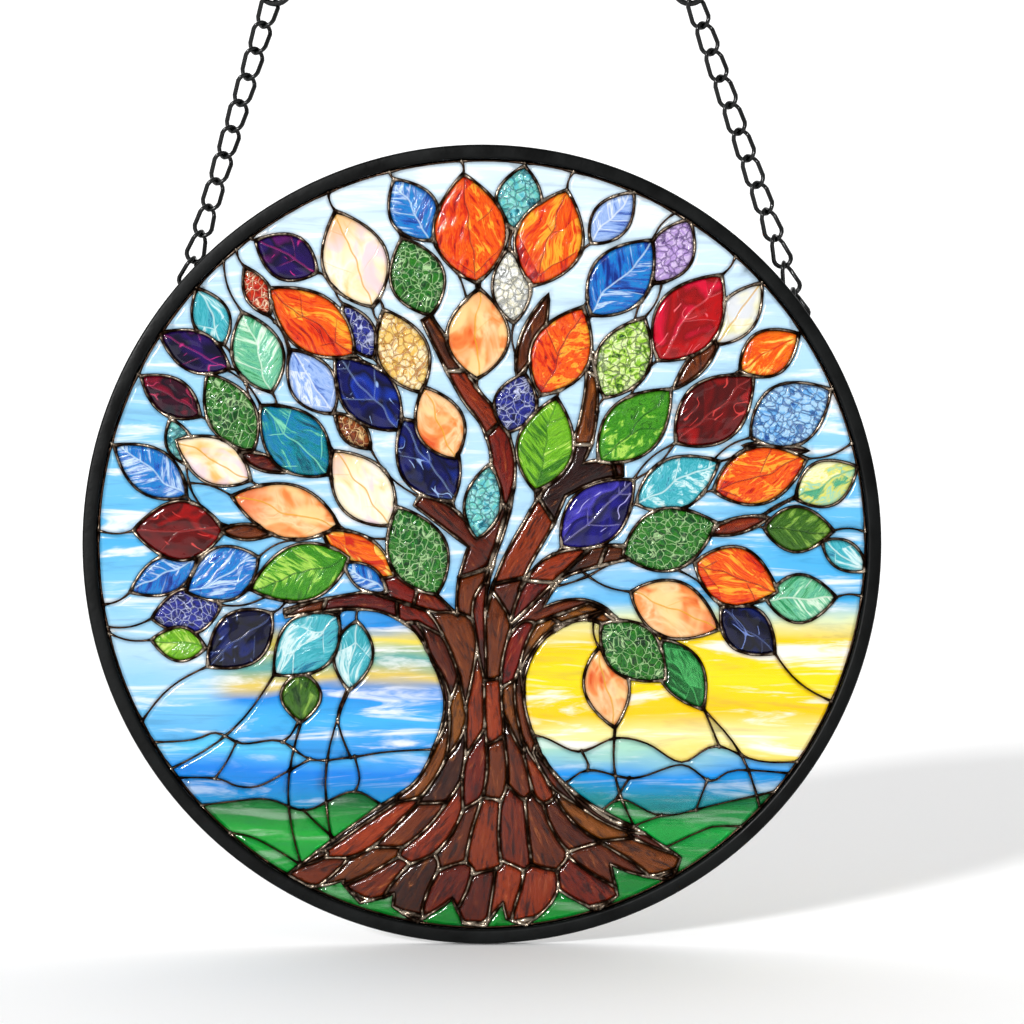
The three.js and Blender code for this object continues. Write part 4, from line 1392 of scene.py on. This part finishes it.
def hang_chain(side):
    loop_low, loop_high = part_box(side + "_loop")
    ring_low, ring_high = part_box(side + "_ring")
    ring_middle = (ring_low + ring_high) / 2
    loop_middle = (loop_low + loop_high) / 2
    loop_middle.y = ring_middle.y
    axis = (ring_middle - loop_middle).normalized()

    reach = (loop_high.y - loop_low.y) / MM - WIRE / 2
    arch = [(rise * reach, along * LOOP_HALF_SPAN, 0) for rise, along in LOOP_SHAPE]
    arch_path = [(place, 1.0) for place in smooth_curve(arch, LOOP_STEPS)]
    loop = tube_mesh("loop", [arch_path], WIRE / 2, WIRE_ROUNDNESS)
    foot = Vector((loop_middle.x, loop_low.y, loop_middle.z))
    loop.transform(axes_at(foot, back, axis, back.cross(axis)))
    smooth_metal(side + "_wire_loop", [loop], [side + "_loop"])

    ring_radius = (ring_high.x - ring_low.x - RING_WIRE * MM) / 2 / MM
    circle = [(place.to_3d(), 1.0) for place in circle_outline(ring_radius, RING_STEPS)]
    ring = tube_mesh("ring", [circle], RING_WIRE / 2, WIRE_ROUNDNESS, closed=True)
    ring.transform(axes_at(ring_middle, rightwards, upwards, front))
    smooth_metal(side + "_end_ring", [ring], [side + "_ring"])

    start = loop_middle + axis * (LOOP_HALF_SPAN - WIRE / 2 - PLAY - WIRE) * MM
    end = ring_middle - axis * (ring_radius - RING_WIRE / 2 - PLAY - WIRE) * MM
    run = (end - start).length / MM
    count = round(run / LINK_PITCH)
    overlap = 2 * WIRE - LINK_BITE
    link_length = (run + (count - 1) * overlap) / count
    links = []
    for number in range(count):
        first_turn = -math.pi / 4 * min(number / TURN_LINKS, 1)
        link = twisted_link((link_length - WIRE) / 2, first_turn)
        along = link_length / 2 + number * (link_length - overlap)
        link.transform(axes_at(start + axis * along * MM, axis.cross(front), axis, front))
        links.append(link)
    smooth_metal(side + "_links", links, [side + "_chain"])
    print(side, "chain:", count, "links of", round(link_length, 1), "mm")


for side in ("left", "right"):
    hang_chain(side)

# %% [markdown]
# A plain pale floor lies just under the rim, and a white wall far behind it shines through the glass, as a
# bright window does. The rest of the room is dimmer, so the black metal stays black. One low lamp from the
# front left gives the glints and draws the shadow towards the back right.

# %% Set the stage and the light
STAGE_SIZE, FLOOR_GAP, WALL_DISTANCE = 12.0, 0.0006, 3.0
WALL_GLOW, ROOM_LIGHT = 1.25, 0.45
LAMP_POWER, LAMP_SPREAD = 3.4, math.radians(7)
LAMP_DIRECTION = Vector((0.45, 0.85, -0.32))
WHITE, BLACK = (1, 1, 1, 1), (0, 0, 0, 1)
floor_height = rim_low.z - FLOOR_GAP


def stage_sheet(name, paint, place):
    sheet = bmesh.new()
    bmesh.ops.create_grid(sheet, x_segments=1, y_segments=1, size=STAGE_SIZE)
    bmesh.ops.transform(sheet, matrix=place, verts=sheet.verts)
    mesh = as_mesh(name, sheet)
    mesh.materials.append(paint)
    stage_object = bpy.data.objects.new(name, mesh)
    bpy.context.scene.collection.objects.link(stage_object)


floor_paint = Finish("floor_paint", Roughness=0.8).finish(colour(252, 252, 252))
stage_sheet("floor", floor_paint, Matrix.Translation((0, 0, floor_height)))
wall_paint = Finish("wall_paint", Emission_Color=WHITE, Emission_Strength=WALL_GLOW).finish(BLACK)
upright = Matrix.Rotation(math.pi / 2, 4, "X")
stage_sheet("wall", wall_paint, Matrix.Translation((0, WALL_DISTANCE, 0)) @ upright)

world = bpy.data.worlds.new("dim_room")
world.use_nodes = True
room = world.node_tree.nodes["Background"]
room.inputs["Color"].default_value = WHITE
room.inputs["Strength"].default_value = ROOM_LIGHT
bpy.context.scene.world = world
bpy.context.scene.view_settings.view_transform = "Standard"

lamp = bpy.data.lights.new("low_lamp", "SUN")
lamp.energy = LAMP_POWER
lamp.angle = LAMP_SPREAD
low_lamp = bpy.data.objects.new("low_lamp", lamp)
low_lamp.rotation_euler = LAMP_DIRECTION.to_track_quat("-Z", "Y").to_euler()
bpy.context.scene.collection.objects.link(low_lamp)
print("floor at", round(floor_height, 4), "m")
